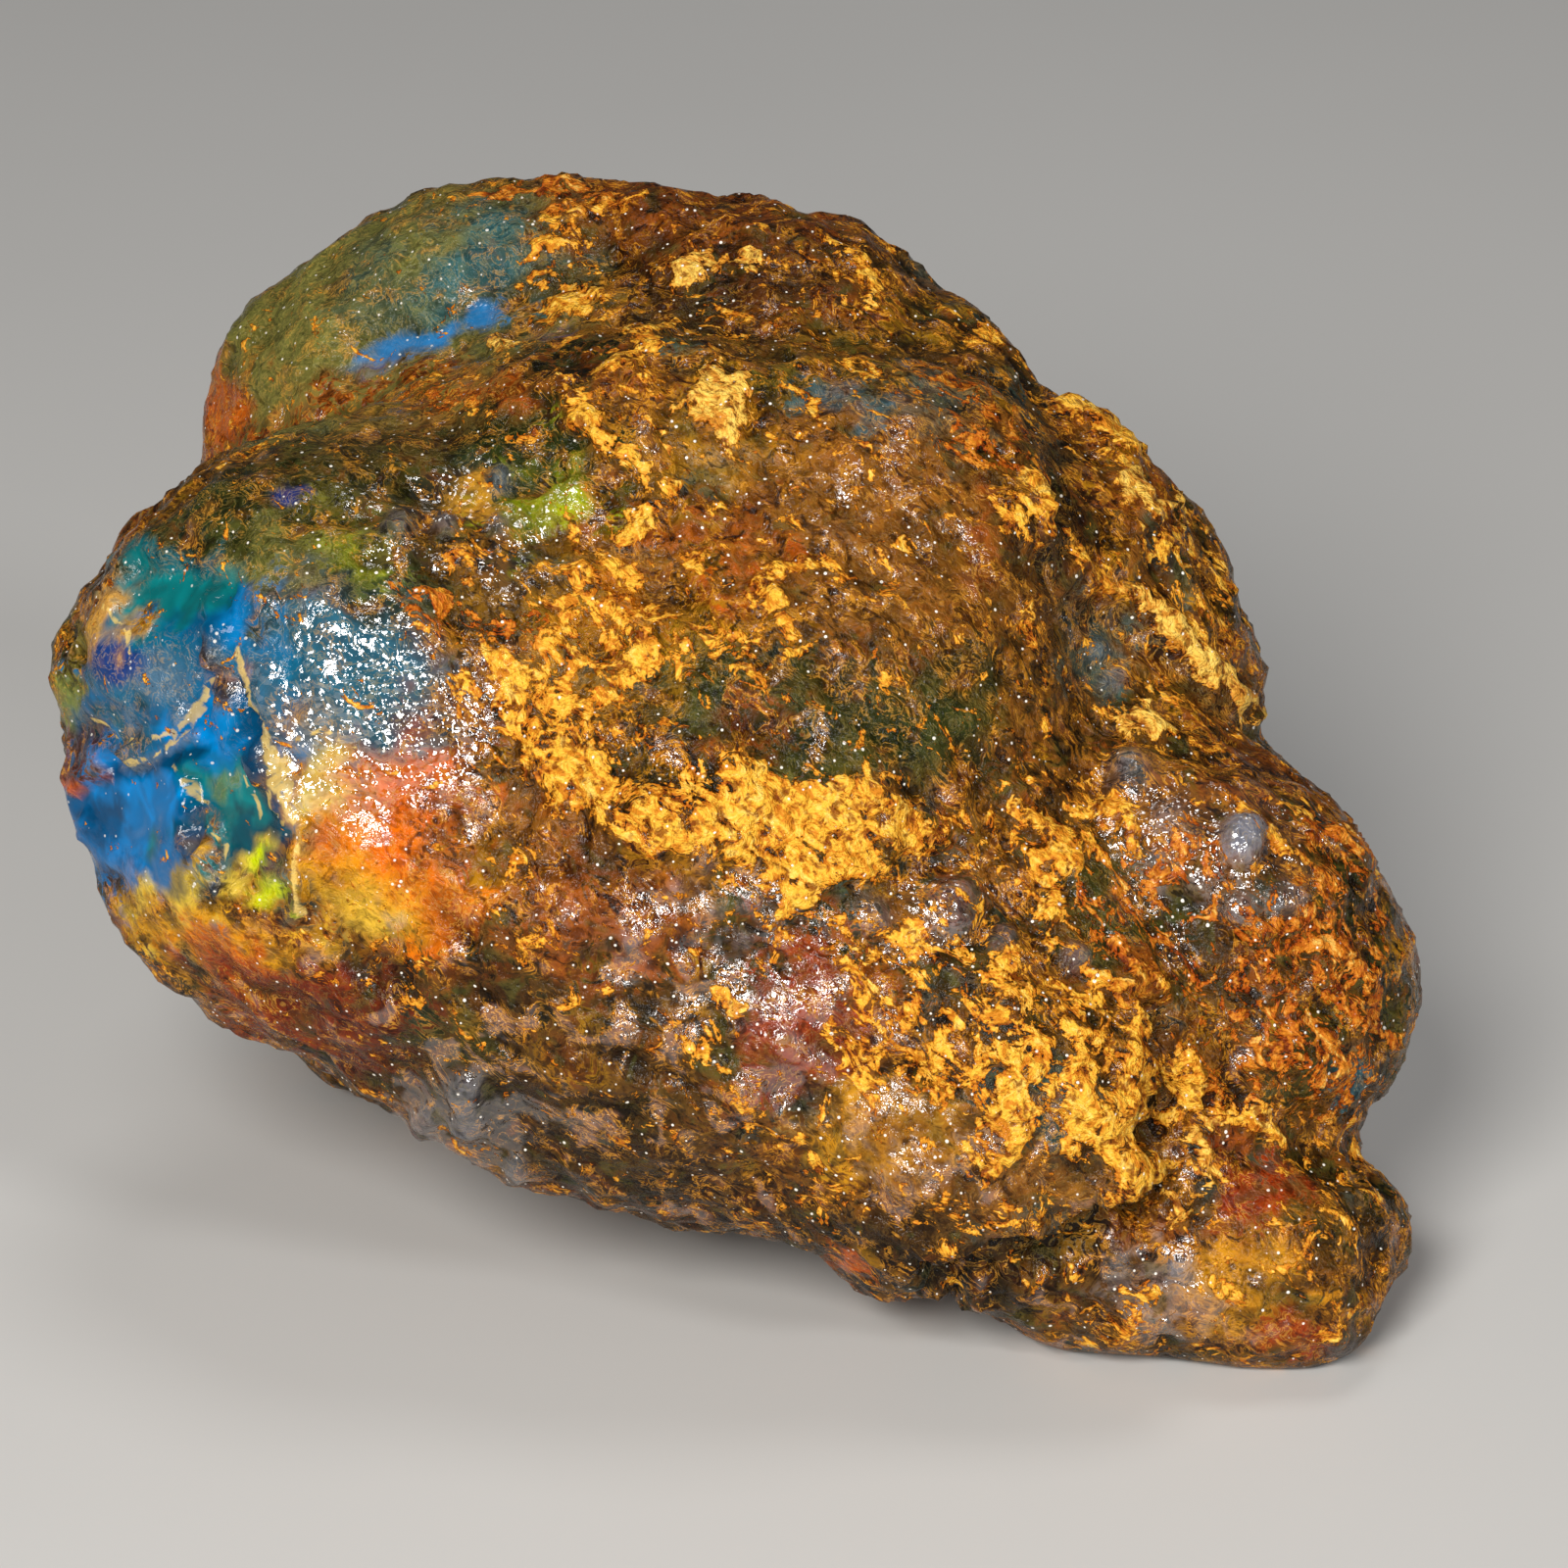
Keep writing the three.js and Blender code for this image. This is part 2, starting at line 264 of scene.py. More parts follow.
def smooth(low: float, high: float, value: np.ndarray) -> np.ndarray:
    """Rises smoothly from 0 at `low` to 1 at `high`, which may be below `low` for a fall."""
    share = np.clip((value - low) / (high - low), 0.0, 1.0)
    return share * share * (3.0 - 2.0 * share)


def along(offset: np.ndarray, first: np.ndarray, last: np.ndarray) -> tuple[np.ndarray, np.ndarray]:
    """Finds the nearest place on a straight run for each offset.

    Args:
        offset: Right and up offsets, one a row.
        first: Where the run starts.
        last: Where it ends.

    Returns:
        The share of the run passed there, and how far away it is.
    """
    run = last - first
    share = np.clip((offset - first) @ run / (run @ run), 0.0, 1.0)
    return share, np.linalg.norm(offset - first - share[:, None] * run, axis=1)


SPOTS = (
    # Rear dome
    Spot(Tone.SAGE, (-21.5, 27.5), (11.5, 8.0), 35, 0.95, soft=0.5),
    Spot(Tone.SLATE, (-16.5, 29.8), (6.0, 3.4), 15, 0.7),
    Spot(Tone.TEAL, (-15.4, 30.4), (3.6, 1.8), 10, 0.55),
    Spot(Tone.BRIGHT_AZURE, (-19.6, 25.5), (3.6, 0.8), 22, 0.8),
    Spot(Tone.BRIGHT_AZURE, (-15.0, 27.3), (1.2, 0.6), 30, 0.8),
    Spot(Tone.INDIGO, (-11.3, 26.0), (1.1, 0.7), 0, 0.8),
    Spot(Tone.FLAME, (-30.6, 21.4), (1.2, 3.0), -10, 0.7),
    # Top ridge
    Spot(Tone.RUST, (-3.0, 33.0), (9.5, 2.4), -5, 0.7),
    Spot(Tone.BLACK_AND_SHADE, (-2.3, 27.2), (4.6, 1.9), 10, 0.7),
    Spot(Tone.RUST, (3.6, 26.0), (3.2, 2.4), 0, 0.6),
    Spot(Tone.OLIVE, (4.3, 24.6), (3.8, 1.9), 0, 0.5, rise=0.3),
    Spot(Tone.TEAL, (4.5, 22.4), (1.8, 0.8), 0, 0.7),
    Spot(Tone.TEAL, (7.7, 22.1), (1.6, 1.1), 0, 0.8),
    Spot(Tone.SLATE, (10.5, 21.6), (2.4, 1.6), 0, 0.8),
    # Brow and hollow over the window
    Spot(Tone.MOSS, (-28.0, 15.0), (7.8, 3.8), 15, 0.9),
    # painted shade in the hollow under the brow ridge
    Spot(Tone.BLACK_AND_SHADE, (-11.7, 20.4), (3.0, 2.2), 0, 0.95, rise=-0.7),
    Spot(Tone.MOSS, (-14.2, 19.0), (6.8, 2.8), 0, 0.8),
    Spot(Tone.HONEY, (-15.9, 16.5), (1.3, 0.9), 0, 0.8),
    Spot(Tone.LEAF, (-11.1, 16.4), (2.5, 2.1), 0, 0.85, rise=0.3),
    Spot(Tone.LIME, (-9.9, 16.2), (0.9, 0.7), 0, 0.5),
    Spot(Tone.LIME, (-21.5, 11.9), (1.4, 1.0), 0, 0.7),
    Spot(Tone.INDIGO, (-26.5, 16.8), (1.0, 0.5), 0, 0.8),
    # Window
    Spot(Tone.AZURE, (-33.2, 3.6), (7.4, 8.6), 8, soft=0.2),
    Spot(Tone.SEA, (-33.4, 10.9), (3.6, 2.2), 0, 0.95),
    Spot(Tone.TEAL, (-32.0, 13.0), (2.0, 1.2), 0, 0.8),
    Spot(Tone.DEEP_SEA, (-30.8, 8.0), (1.6, 2.6), -20, 0.7),
    Spot(Tone.BRIGHT_AZURE, (-28.8, 9.2), (2.0, 1.4), -15, 0.9),
    Spot(Tone.BRIGHT_AZURE, (-30.2, 4.0), (3.2, 1.7), -35),
    Spot(Tone.BRIGHT_AZURE, (-35.4, -0.6), (3.4, 2.4), 15),
    Spot(Tone.BRIGHT_AZURE, (-35.2, -4.0), (2.0, 2.2), -30, 0.8),
    Spot(Tone.BRIGHT_AZURE, (-38.0, -2.6), (1.6, 3.4), 15, 0.9),
    Spot(Tone.SEA, (-30.4, -2.0), (2.6, 3.0), 15, 0.95),
    Spot(Tone.LEAF, (-31.0, -0.6), (1.0, 0.8), 30, 0.5),
    Spot(Tone.DEEP_SEA, (-29.2, -3.6), (1.2, 1.4), 0, 0.7),
    Spot(Tone.DEEP_SEA, (-38.2, -1.4), (0.9, 2.4), 10, 0.7),
    Spot(Tone.STEEL, (-35.2, 6.6), (2.8, 2.2), -20, 0.7, rise=0.4, ragged=0.5),
    Spot(Tone.PEARL_AND_SHEEN, (-34.6, 6.2), (1.8, 1.4), -20, 0.35, ragged=0.5),
    Spot(Tone.INDIGO, (-36.6, 7.2), (1.5, 1.1), -20, 0.85, ragged=0.4),
    Spot(Tone.SLATE, (-36.4, 3.0), (2.4, 1.5), -15, 0.7),
    Spot(Tone.HONEY, (-37.6, 9.4), (1.2, 2.0), -25, 0.8),
    Spot(Tone.LEAF, (-39.4, 5.4), (0.7, 1.6), 0, 0.8),
    Spot(Tone.OLIVE, (-39.2, 8.0), (0.8, 2.4), -15, 0.8),
    Spot(Tone.UMBER, (-30.6, 6.4), (0.8, 1.9), 20, 0.85, ragged=0.5),
    Spot(Tone.FLAME, (-28.7, 6.6), (0.4, 0.5), 0, 0.8),
    Spot(Tone.RUST, (-38.6, 1.0), (0.9, 1.2), 0, 0.85),
    Spot(Tone.FLAME, (-38.9, -0.2), (0.5, 0.5), 0, 0.8),
    # Below the window
    Spot(Tone.HONEY, (-31.6, -8.4), (4.4, 2.0), -25, 0.9),
    Spot(Tone.SUN, (-33.2, -6.4), (1.5, 1.3), -30, 0.9),
    Spot(Tone.FLAME, (-30.4, -9.8), (3.2, 1.0), -25, 0.7),
    Spot(Tone.SUN, (-28.6, -4.5), (0.8, 1.1), -10, ragged=0.8),
    Spot(Tone.LIME, (-28.5, -4.4), (0.6, 0.8), -10, ragged=0.6),
    Spot(Tone.LIME, (-27.6, -6.2), (0.6, 0.9), -30, 0.9),
    Spot(Tone.SUN, (-29.6, -6.0), (1.0, 0.5), -35, 0.9),
    Spot(Tone.SLATE, (-26.6, -6.6), (0.9, 1.5), 20, 0.7),
    Spot(Tone.HONEY, (-24.4, -2.4), (2.4, 4.4), 8, 0.9),
    Spot(Tone.SUN, (-24.6, 0.3), (1.2, 1.9), 10, 0.95, rise=0.3),
    Spot(Tone.SLATE, (-24.7, -3.4), (0.9, 1.2), 0, 0.75),
    Spot(Tone.STEEL, (-23.4, 6.6), (5.4, 4.8), -20, 0.95, rise=0.6, soft=0.6, ragged=0.7),
    Spot(Tone.HONEY, (-21.4, -6.4), (4.4, 2.8), 10, 0.8, soft=0.6),
    Spot(Tone.SUN, (-22.4, -7.6), (2.2, 1.2), 25, 0.5, soft=0.6),
    Spot(Tone.FLAME, (-17.8, -7.2), (2.4, 2.0), 0, 0.7, soft=0.7),
    Spot(Tone.FLAME, (-20.4, -1.6), (3.6, 3.6), -10, 0.9, soft=0.65),
    Spot(Tone.RUST, (-17.6, -2.6), (1.6, 3.0), 10, 0.7),
    Spot(Tone.RED, (-25.4, -13.0), (6.6, 2.4), -28, 0.85),
    # painted shade in a thin slit
    Spot(Tone.BLACK_AND_SHADE, (-22.7, 10.3), (0.8, 0.35), 0, 0.95, rise=-0.2),
    Spot(Tone.SAGE, (-27.5, 13.0), (4.0, 1.8), 15, 0.6),
    Spot(Tone.OLIVE, (-22.5, 14.5), (4.0, 2.0), 10, 0.7),
    Spot(Tone.LEAF, (-23.5, 13.0), (1.6, 0.9), -15, 0.6),
    Spot(Tone.MOSS, (-21.0, 10.6), (4.6, 1.8), 5, 0.75),
    # painted highlight: silver sheen on the small bubbles at the lower left
    Spot(Tone.PEARL_AND_SHEEN, (-15.6, -19.0), (3.6, 1.4), -25, 0.25),
    # painted shade: the lower left and the underside rim darkened where the lump turns under
    Spot(Tone.BARK_AND_SHADE, (-17.5, -16.5), (10.0, 3.6), -25, 0.5, soft=0.7),
    Spot(Tone.BARK_AND_SHADE, (-6.0, -23.0), (16.0, 3.0), -25, 0.8, soft=0.7),
    Spot(Tone.BARK_AND_SHADE, (10.0, -28.0), (12.0, 2.2), -12, 0.85, soft=0.7),
    Spot(Tone.BARK_AND_SHADE, (0.0, 30.0), (9.0, 3.0), -15, 0.6, soft=0.7),
    # painted shade in the cleft
    Spot(Tone.BARK_AND_SHADE, (17.6, 15.0), (1.9, 6.2), 4, 0.95, soft=0.6),
    Spot(Tone.SAGE, (-27.0, 29.0), (5.0, 3.0), 40, 0.5),
    # Middle
    Spot(Tone.HONEY, (-8.5, 9.5), (6.4, 3.8), 15, 0.34, soft=0.7),
    Spot(Tone.FLAME, (-7.0, 10.6), (2.6, 1.6), 10, 0.4, soft=0.7),
    Spot(Tone.HONEY, (-1.0, 19.0), (4.4, 2.4), -20, 0.34, soft=0.7),
    Spot(Tone.RUST, (-0.9, 13.6), (3.4, 2.6), 0, 0.75, soft=0.6),
    Spot(Tone.FLAME, (0.4, 12.9), (1.6, 1.2), 0, 0.5),
    Spot(Tone.MOSS, (4.0, 3.8), (10.0, 3.6), -5, 0.8),
    Spot(Tone.RUST, (1.0, 3.2), (2.2, 1.6), 0, 0.8),
    Spot(Tone.RED, (14.0, 15.2), (0.8, 2.4), 0, 0.85),
    Spot(Tone.RED, (13.2, 12.2), (0.7, 1.0), 0, 0.8),
    Spot(Tone.BROWN, (9.0, 15.0), (7.0, 6.0), -20, 0.85, soft=0.6),
    Spot(Tone.MOSS, (11.5, 4.5), (3.6, 4.0), -20, 0.7, soft=0.6),
    Spot(Tone.SAGE, (1.3, 0.0), (1.0, 0.8), 0, 0.7),
    # Below the crust sheet
    Spot(Tone.RED, (3.2, -14.8), (4.2, 2.8), 0, 0.75),
    Spot(Tone.RED, (3.7, -9.8), (1.6, 1.2), 0, 0.7),
    Spot(Tone.RUST, (-8.0, -8.0), (6.0, 3.0), -30, 0.7),
    Spot(Tone.HONEY, (8.2, -19.5), (4.0, 2.4), -20, 0.6),
    Spot(Tone.MOSS, (-17.0, -14.5), (3.0, 1.8), -25, 0.7),
    Spot(Tone.BARK_AND_SHADE, (-10.0, -13.0), (5.6, 2.4), -20, 0.55),
    Spot(Tone.SLATE, (18.3, -19.2), (1.5, 2.5), 0, 0.7),
    # painted shade in a small pit
    Spot(Tone.BLACK_AND_SHADE, (16.7, -23.3), (0.9, 0.9), 0, 0.9, rise=-0.3),
    Spot(Tone.MOSS, (22.2, -8.2), (2.6, 4.4), 20, 0.8),
    Spot(Tone.RUST, (23.0, -11.2), (1.2, 2.4), 0, 0.7),
    Spot(Tone.FLAME, (6.0, -27.8), (1.5, 0.8), 0, 0.8),
    # Cleft and flanks
    Spot(Tone.SLATE, (20.6, 7.2), (1.6, 3.2), 20, 0.7),
    Spot(Tone.RED, (25.5, 17.9), (0.8, 1.2), 0, 0.7),
    Spot(Tone.RUST, (28.4, -0.6), (2.2, 1.6), 0, 0.5),
    Spot(Tone.PEARL_AND_SHEEN, (28.8, -3.5), (1.3, 1.2), 0, 0.75, rise=0.5, ragged=0.2),
    Spot(Tone.TEAL, (34.8, -17.1), (1.0, 1.2), 0, 0.7),
    Spot(Tone.MOSS, (38.4, -15.8), (1.2, 3.6), 0, 0.7),
    # Neck and foot
    Spot(Tone.RED, (29.8, -23.8), (2.6, 1.8), -30, 0.8),
    Spot(Tone.RUST, (28.3, -20.6), (1.4, 0.9), 40, 0.85),
    Spot(Tone.RUST, (29.6, -28.4), (5.0, 2.8), 0, 0.6, soft=0.7),
    Spot(Tone.HONEY, (28.6, -28.8), (3.8, 2.2), 0, 0.6, soft=0.7),
    # painted highlight: silver sheen on the foot
    Spot(Tone.PEARL_AND_SHEEN, (23.6, -28.8), (2.2, 1.4), 0, 0.3),
    Spot(Tone.BROWN, (13.0, -22.5), (5.4, 2.6), -20, 0.7),
    Spot(Tone.RED, (31.6, -31.9), (2.0, 1.2), 0, 0.8),
)

CRUSTS = (
    Spot(Tone.GOLD, (-11.0, 32.3), (2.2, 0.9), 20, 0.7),
    Spot(Tone.DEEP_GOLD, (-11.5, 34.3), (4.2, 0.9), 0, 0.7),
    Spot(Tone.GOLD, (-11.0, 29.8), (1.7, 1.1), 0, 0.75),
    Spot(Tone.GOLD, (-9.2, 27.9), (2.0, 1.2), 0, 0.8),
    Spot(Tone.PALE_GOLD, (-13.9, 25.1), (1.6, 0.8), 0, 0.75),
    Spot(Tone.GOLD, (-17.6, 23.6), (1.2, 0.5), 0, 0.7),
    Spot(Tone.PALE_GOLD, (-3.1, 30.3), (2.0, 0.9), -15, 0.85),
    Spot(Tone.PALE_GOLD, (0.2, 30.4), (1.8, 0.7), 0, 0.8),
    Spot(Tone.GOLD, (5.3, 31.0), (1.8, 0.8), -35, 0.7),
    Spot(Tone.GOLD, (7.3, 29.5), (2.0, 0.8), -40, 0.7),
    Spot(Tone.PALE_GOLD, (-1.2, 22.2), (2.9, 1.6), 10, 0.85),
    Spot(Tone.GOLD, (1.5, 12.2), (1.0, 1.2), -30, rise=0.15),
    Spot(Tone.GOLD, (-8.8, 10.0), (4.8, 3.6), 20, 0.62),
    Spot(Tone.DEEP_GOLD, (-16.6, 22.8), (4.0, 0.9), 8, 0.6),
    Spot(Tone.DEEP_GOLD, (-17.2, 10.0), (3.6, 1.1), -5, 0.6),
    Spot(Tone.DEEP_GOLD, (-14.0, 9.6), (2.6, 2.0), -20, 0.55),
    Spot(Tone.GOLD, (-2.4, 7.6), (2.8, 1.8), 15, 0.55),
    Spot(Tone.DEEP_GOLD, (12.6, 21.4), (3.0, 4.6), 35, 0.45),
    Spot(Tone.GOLD, (-6.5, 7.1), (1.4, 1.0), 0, 0.95),
    Spot(Tone.GOLD, (16.0, 15.7), (1.4, 2.5), 0, 0.6, rise=0.3),
    Spot(Tone.GOLD, (9.6, -9.0), (1.4, 0.7), -40, 0.95),
    Spot(Tone.GOLD, (-1.7, -12.4), (1.3, 0.9), 0, 0.85),
    Spot(Tone.PALE_GOLD, (-0.4, -13.2), (0.8, 0.6), 0, 0.8),
    Spot(Tone.GOLD, (14.2, -13.8), (2.6, 2.6), 0, 0.62),
    Spot(Tone.GOLD, (17.9, -15.6), (1.6, 1.6), 30, 0.95, rise=0.2),
    Spot(Tone.GOLD, (16.3, -19.3), (1.2, 2.6), -15, 0.95, rise=0.2),
    Spot(Tone.GOLD, (13.9, -22.0), (1.1, 0.8), 0, 0.9),
    Spot(Tone.GOLD, (20.6, 21.0), (1.8, 2.0), 0, 0.95, rise=0.3),
    Spot(Tone.PALE_GOLD, (24.1, 15.7), (1.3, 1.8), 20, 0.9, rise=0.2),
    Spot(Tone.GOLD, (24.5, 13.2), (1.0, 1.2), 0, 0.8),
    Spot(Tone.PALE_GOLD, (22.8, 3.2), (1.3, 0.9), 20, 0.95, rise=0.25),
    Spot(Tone.DEEP_GOLD, (31.2, -9.0), (1.6, 1.2), -15, 0.9),
    Spot(Tone.DEEP_GOLD, (35.6, -10.5), (2.6, 3.6), -20, 0.6),
    Spot(Tone.PALE_GOLD, (34.1, -19.2), (0.9, 0.9), 0, 0.6),
    Spot(Tone.GOLD, (28.0, -29.4), (1.3, 1.0), 0, 0.6),
    Spot(Tone.GOLD, (10.0, -3.4), (2.0, 1.2), -20, 0.8, rise=0.15),
    Spot(Tone.GOLD, (17.8, -6.8), (1.6, 2.2), 15, 0.7, rise=0.2),
    Spot(Tone.GOLD, (21.6, -12.3), (2.0, 1.5), 0, 0.75, rise=0.2),
    Spot(Tone.DEEP_GOLD, (34.4, -5.0), (2.2, 5.0), -25, 0.6),
    Spot(Tone.DEEP_GOLD, (31.0, -12.5), (8.0, 7.0), -30, 0.5),
    Spot(Tone.DEEP_GOLD, (24.0, -8.0), (4.0, 5.0), 20, 0.45),
    Spot(Tone.DEEP_GOLD, (33.0, -14.0), (2.6, 1.6), -30, 0.55),
    Spot(Tone.GOLD, (12.5, -14.5), (8.0, 7.0), -20, 0.52),
    Spot(Tone.GOLD, (21.4, -20.2), (2.6, 5.4), 8, 0.9, rise=0.4),
    Spot(Tone.GOLD, (25.4, -17.4), (1.9, 1.5), 40, 0.85, rise=0.4),
    Spot(Tone.PALE_GOLD, (26.3, -21.6), (1.3, 2.6), -15, 0.7, rise=0.3),
    Spot(Tone.GOLD, (27.0, 10.0), (2.4, 5.0), -40, 0.5),
)

STROKES = (
    Stroke(Tone.FLAME, ((-30.0, 19.6), (-24.0, 22.4), (-17.9, 23.4), (-12.5, 22.9)), 0.9, 0.5),
    Stroke(Tone.RUST, ((-35.8, 15.5), (-30.0, 19.5), (-24.0, 22.2), (-17.9, 23.4)), 1.5, 0.8),
    Stroke(Tone.GOLD, ((-10.0, 22.1), (-6.7, 19.5), (-4.6, 16.7), (-5.7, 14.7)), 0.8, 0.85, rise=0.25),
    Stroke(Tone.GOLD, ((-10.9, 24.0), (-7.0, 24.6), (-4.0, 26.2)), 0.6, 0.7, rise=0.2),
    Stroke(Tone.BARE, ((-5.1, 20.8), (-0.6, 16.2), (3.0, 12.2)), 0.3, rise=-0.25),
    Stroke(Tone.GOLD, ((1.5, 6.8), (2.8, 7.6), (4.2, 8.4)), 0.35, 0.9, rise=-0.15),
    Stroke(Tone.GOLD, ((-14.6, 6.5), (-11.0, 2.6), (-8.0, -1.0)), 2.4, 0.68),
    Stroke(Tone.PALE_GOLD, ((22.2, 11.2), (26.0, 7.4), (29.6, 3.9)), 0.7, 0.98, rise=0.2),
    # painted shadow along the grooves of the right flank and the cleft
    Stroke(Tone.BLACK_AND_SHADE, ((22.9, 8.5), (27.4, 4.6), (31.8, 1.8)), 0.8, 0.8, rise=-0.3),
    Stroke(Tone.BLACK_AND_SHADE, ((17.8, 19.5), (18.0, 15.0), (18.6, 10.5), (22.0, 9.2)), 0.8, 0.8, rise=-0.4),
    Stroke(Tone.GOLD, ((16.4, -2.2), (18.2, -3.6), (19.2, -5.4)), 0.7, 0.95, rise=0.3),
    Stroke(Tone.GOLD, ((20.5, -1.2), (21.8, -2.4), (22.9, -4.2)), 0.6, 0.9, rise=0.3),
    Stroke(Tone.GOLD, ((9.4, -8.5), (11.4, -10.0)), 0.5, 0.9),
    Stroke(Tone.GOLD, ((22.8, -14.0), (23.0, -17.5), (22.6, -21.5), (20.8, -24.8)), 0.9, 0.8, rise=0.4),
    Stroke(Tone.GOLD, ((27.6, -19.0), (29.8, -19.4), (31.0, -21.2)), 0.6, 0.8, rise=0.3),
    # painted shadow in the deep fold between the body and the foot
    Stroke(Tone.BLACK_AND_SHADE, ((24.0, -13.6), (24.4, -17.5), (24.5, -21.5), (23.0, -24.8)), 0.7, 0.95, rise=-1.5),
    Stroke(Tone.BLACK_AND_SHADE, ((23.3, -24.6), (20.5, -26.6), (16.0, -28.2), (11.0, -29.4)), 1.0, 0.95, rise=-1.8),
    # painted shade: deep blue darkens the window along its facet borders and beside the ridge
    Stroke(Tone.DEEP_SEA, ((-37.2, 0.6), (-34.6, 1.0), (-31.9, 1.8)), 0.5, 0.75, ragged=0.4),
    Stroke(Tone.DEEP_SEA, ((-32.8, -1.2), (-32.4, -3.8), (-33.2, -6.2)), 0.5, 0.6),
    Stroke(Tone.DEEP_SEA, ((-28.6, 5.4), (-27.9, 2.0), (-27.4, -1.0), (-27.5, -4.6)), 0.7, 0.75),
    Stroke(Tone.DEEP_GOLD, ((33.4, -9.0), (37.0, -12.0)), 0.4, 0.9),
    Stroke(Tone.DEEP_GOLD, ((34.0, -12.0), (38.0, -15.4)), 0.4, 0.9),
    Stroke(Tone.BARE, ((-31.7, 9.7), (-29.9, 4.1), (-27.9, 1.2), (-25.8, -2.3), (-25.8, -6.9)), 0.9,
           rise=0.9),
    # painted highlight: a thin glint along the window's sharp edge
    Stroke(Tone.PEARL_AND_SHEEN, ((-37.0, 0.9), (-34.4, 1.5), (-32.0, 3.0)), 0.25, 0.5, rise=0.3),
    Stroke(Tone.BARE, ((-37.0, 1.0), (-34.4, 1.6), (-31.7, 2.2)), 0.45, rise=-0.35),
    # painted shade in the notch at the left end
    Stroke(Tone.BLACK_AND_SHADE, ((-38.9, 3.2), (-37.6, 2.0)), 0.5, 0.7, rise=-0.5),
)

WISPS = (
    Stroke(Tone.WISP, ((-29.6, 8.0), (-28.2, 4.6), (-27.2, 1.6), (-26.4, -1.4)), 0.3),
    Stroke(Tone.WISP, ((-27.7, 3.6), (-26.6, 1.2), (-25.9, -2.0), (-25.6, -4.4), (-25.9, -7.6)), 0.34),
    Stroke(Tone.WISP, ((-27.0, 0.6), (-27.4, -1.2), (-26.6, -2.6)), 0.26),
    Stroke(Tone.WISP, ((-26.0, 2.6), (-24.4, 3.2), (-22.8, 2.0)), 0.24),
    Stroke(Tone.WISP, ((-34.6, 2.6), (-33.0, 3.4), (-31.4, 6.0)), 0.28),
    Stroke(Tone.WISP, ((-36.8, 1.2), (-34.0, 1.8), (-32.4, 3.2), (-31.6, 4.8)), 0.24),
    Stroke(Tone.WISP, ((-33.2, 1.2), (-32.4, -0.6), (-31.8, -1.6)), 0.26),
    Stroke(Tone.WISP, ((-31.8, -2.8), (-30.6, -3.8), (-31.2, -5.6)), 0.24),
    Stroke(Tone.WISP, ((-29.4, 0.4), (-28.6, -1.0), (-28.4, -2.6)), 0.2),
    Stroke(Tone.WISP, ((-38.6, 3.6), (-37.0, 2.6), (-35.4, 2.4)), 0.22),
    Stroke(Tone.WISP, ((-37.4, 10.4), (-36.2, 9.2), (-35.8, 7.6)), 0.22),
)

CHIPS = (
    Chip((-35.6, -1.8), (3.4, 3.3), 10, tilt=(-0.12, 0.1), depth=0.5),
    Chip((-30.4, 3.6), (2.5, 2.9), 25, tilt=(0.15, 0.2), depth=0.5),
    Chip((-30.2, -2.2), (2.5, 3.8), 10, tilt=(-0.3, -0.1), depth=0.7),
    Chip((-33.6, 10.8), (3.4, 2.3), -10, tilt=(0.0, 0.2), depth=0.4),
    Chip((-37.2, 3.6), (1.8, 1.6), 0, tilt=(0.1, -0.2), depth=0.4),
)

BEADED = (
    Spot(Tone.BARE, (-22.4, 3.8), (7.0, 6.4), soft=0.5),
    Spot(Tone.BARE, (-1.0, -10.0), (9.0, 5.0), 0, 0.5, soft=0.6),
    Spot(Tone.BARE, (12.1, -7.4), (2.6, 2.4), soft=0.6),
    Spot(Tone.BARE, (-8.0, -17.0), (11.0, 3.4), -25, 0.25, soft=0.6),
    Spot(Tone.BARE, (10.0, -21.0), (6.0, 3.0), -15, 0.4, soft=0.6),
    Spot(Tone.BARE, (8.0, 15.0), (7.0, 5.0), -25, 0.3, soft=0.6),
    Spot(Tone.BARE, (26.0, -4.0), (6.0, 5.0), 0, 0.8, soft=0.6),
    Spot(Tone.BARE, (-16.5, -19.0), (5.0, 3.0), 0, 0.8, soft=0.6),
    Spot(Tone.BARE, (-17.0, 15.5), (7.0, 2.5), soft=0.6),
    Spot(Tone.BARE, (3.2, -15.5), (3.6, 2.6), 0, 0.6, soft=0.6),
    Spot(Tone.BARE, (24.4, -29.6), (3.6, 2.0), 0, 0.7, soft=0.6),
)

BUBBLES = (
    ((-4.0, -5.9), 0.6), ((-2.4, -4.6), 0.5), ((0.3, -6.8), 0.7), ((-1.7, -7.2), 0.6),
    ((0.0, -9.0), 0.6), ((-6.6, -9.0), 0.5), ((7.3, -7.7), 1.0), ((12.1, -7.4), 1.7),
    ((19.2, -10.2), 0.8), ((14.9, -9.1), 0.8), ((22.5, 0.4), 1.4), ((24.7, -2.2), 0.8),
    ((25.7, -3.4), 0.8), ((24.2, -4.6), 0.7), ((28.8, -3.6), 1.2), ((28.7, -7.3), 1.0),
    ((31.2, -6.8), 1.0), ((26.4, -6.0), 0.8), ((-16.1, -17.9), 1.0), ((-16.1, -19.7), 0.9),
    ((-13.4, -22.5), 0.7), ((-18.5, -19.4), 0.8), ((25.3, -27.8), 0.8), ((20.4, 7.8), 0.7),
    ((21.4, 5.9), 0.7), ((34.8, -32.7), 0.9), ((-14.3, 17.6), 0.7), ((-20.2, 14.8), 0.9),
    ((-17.4, 15.0), 0.7), ((-14.4, 15.0), 0.6),
)

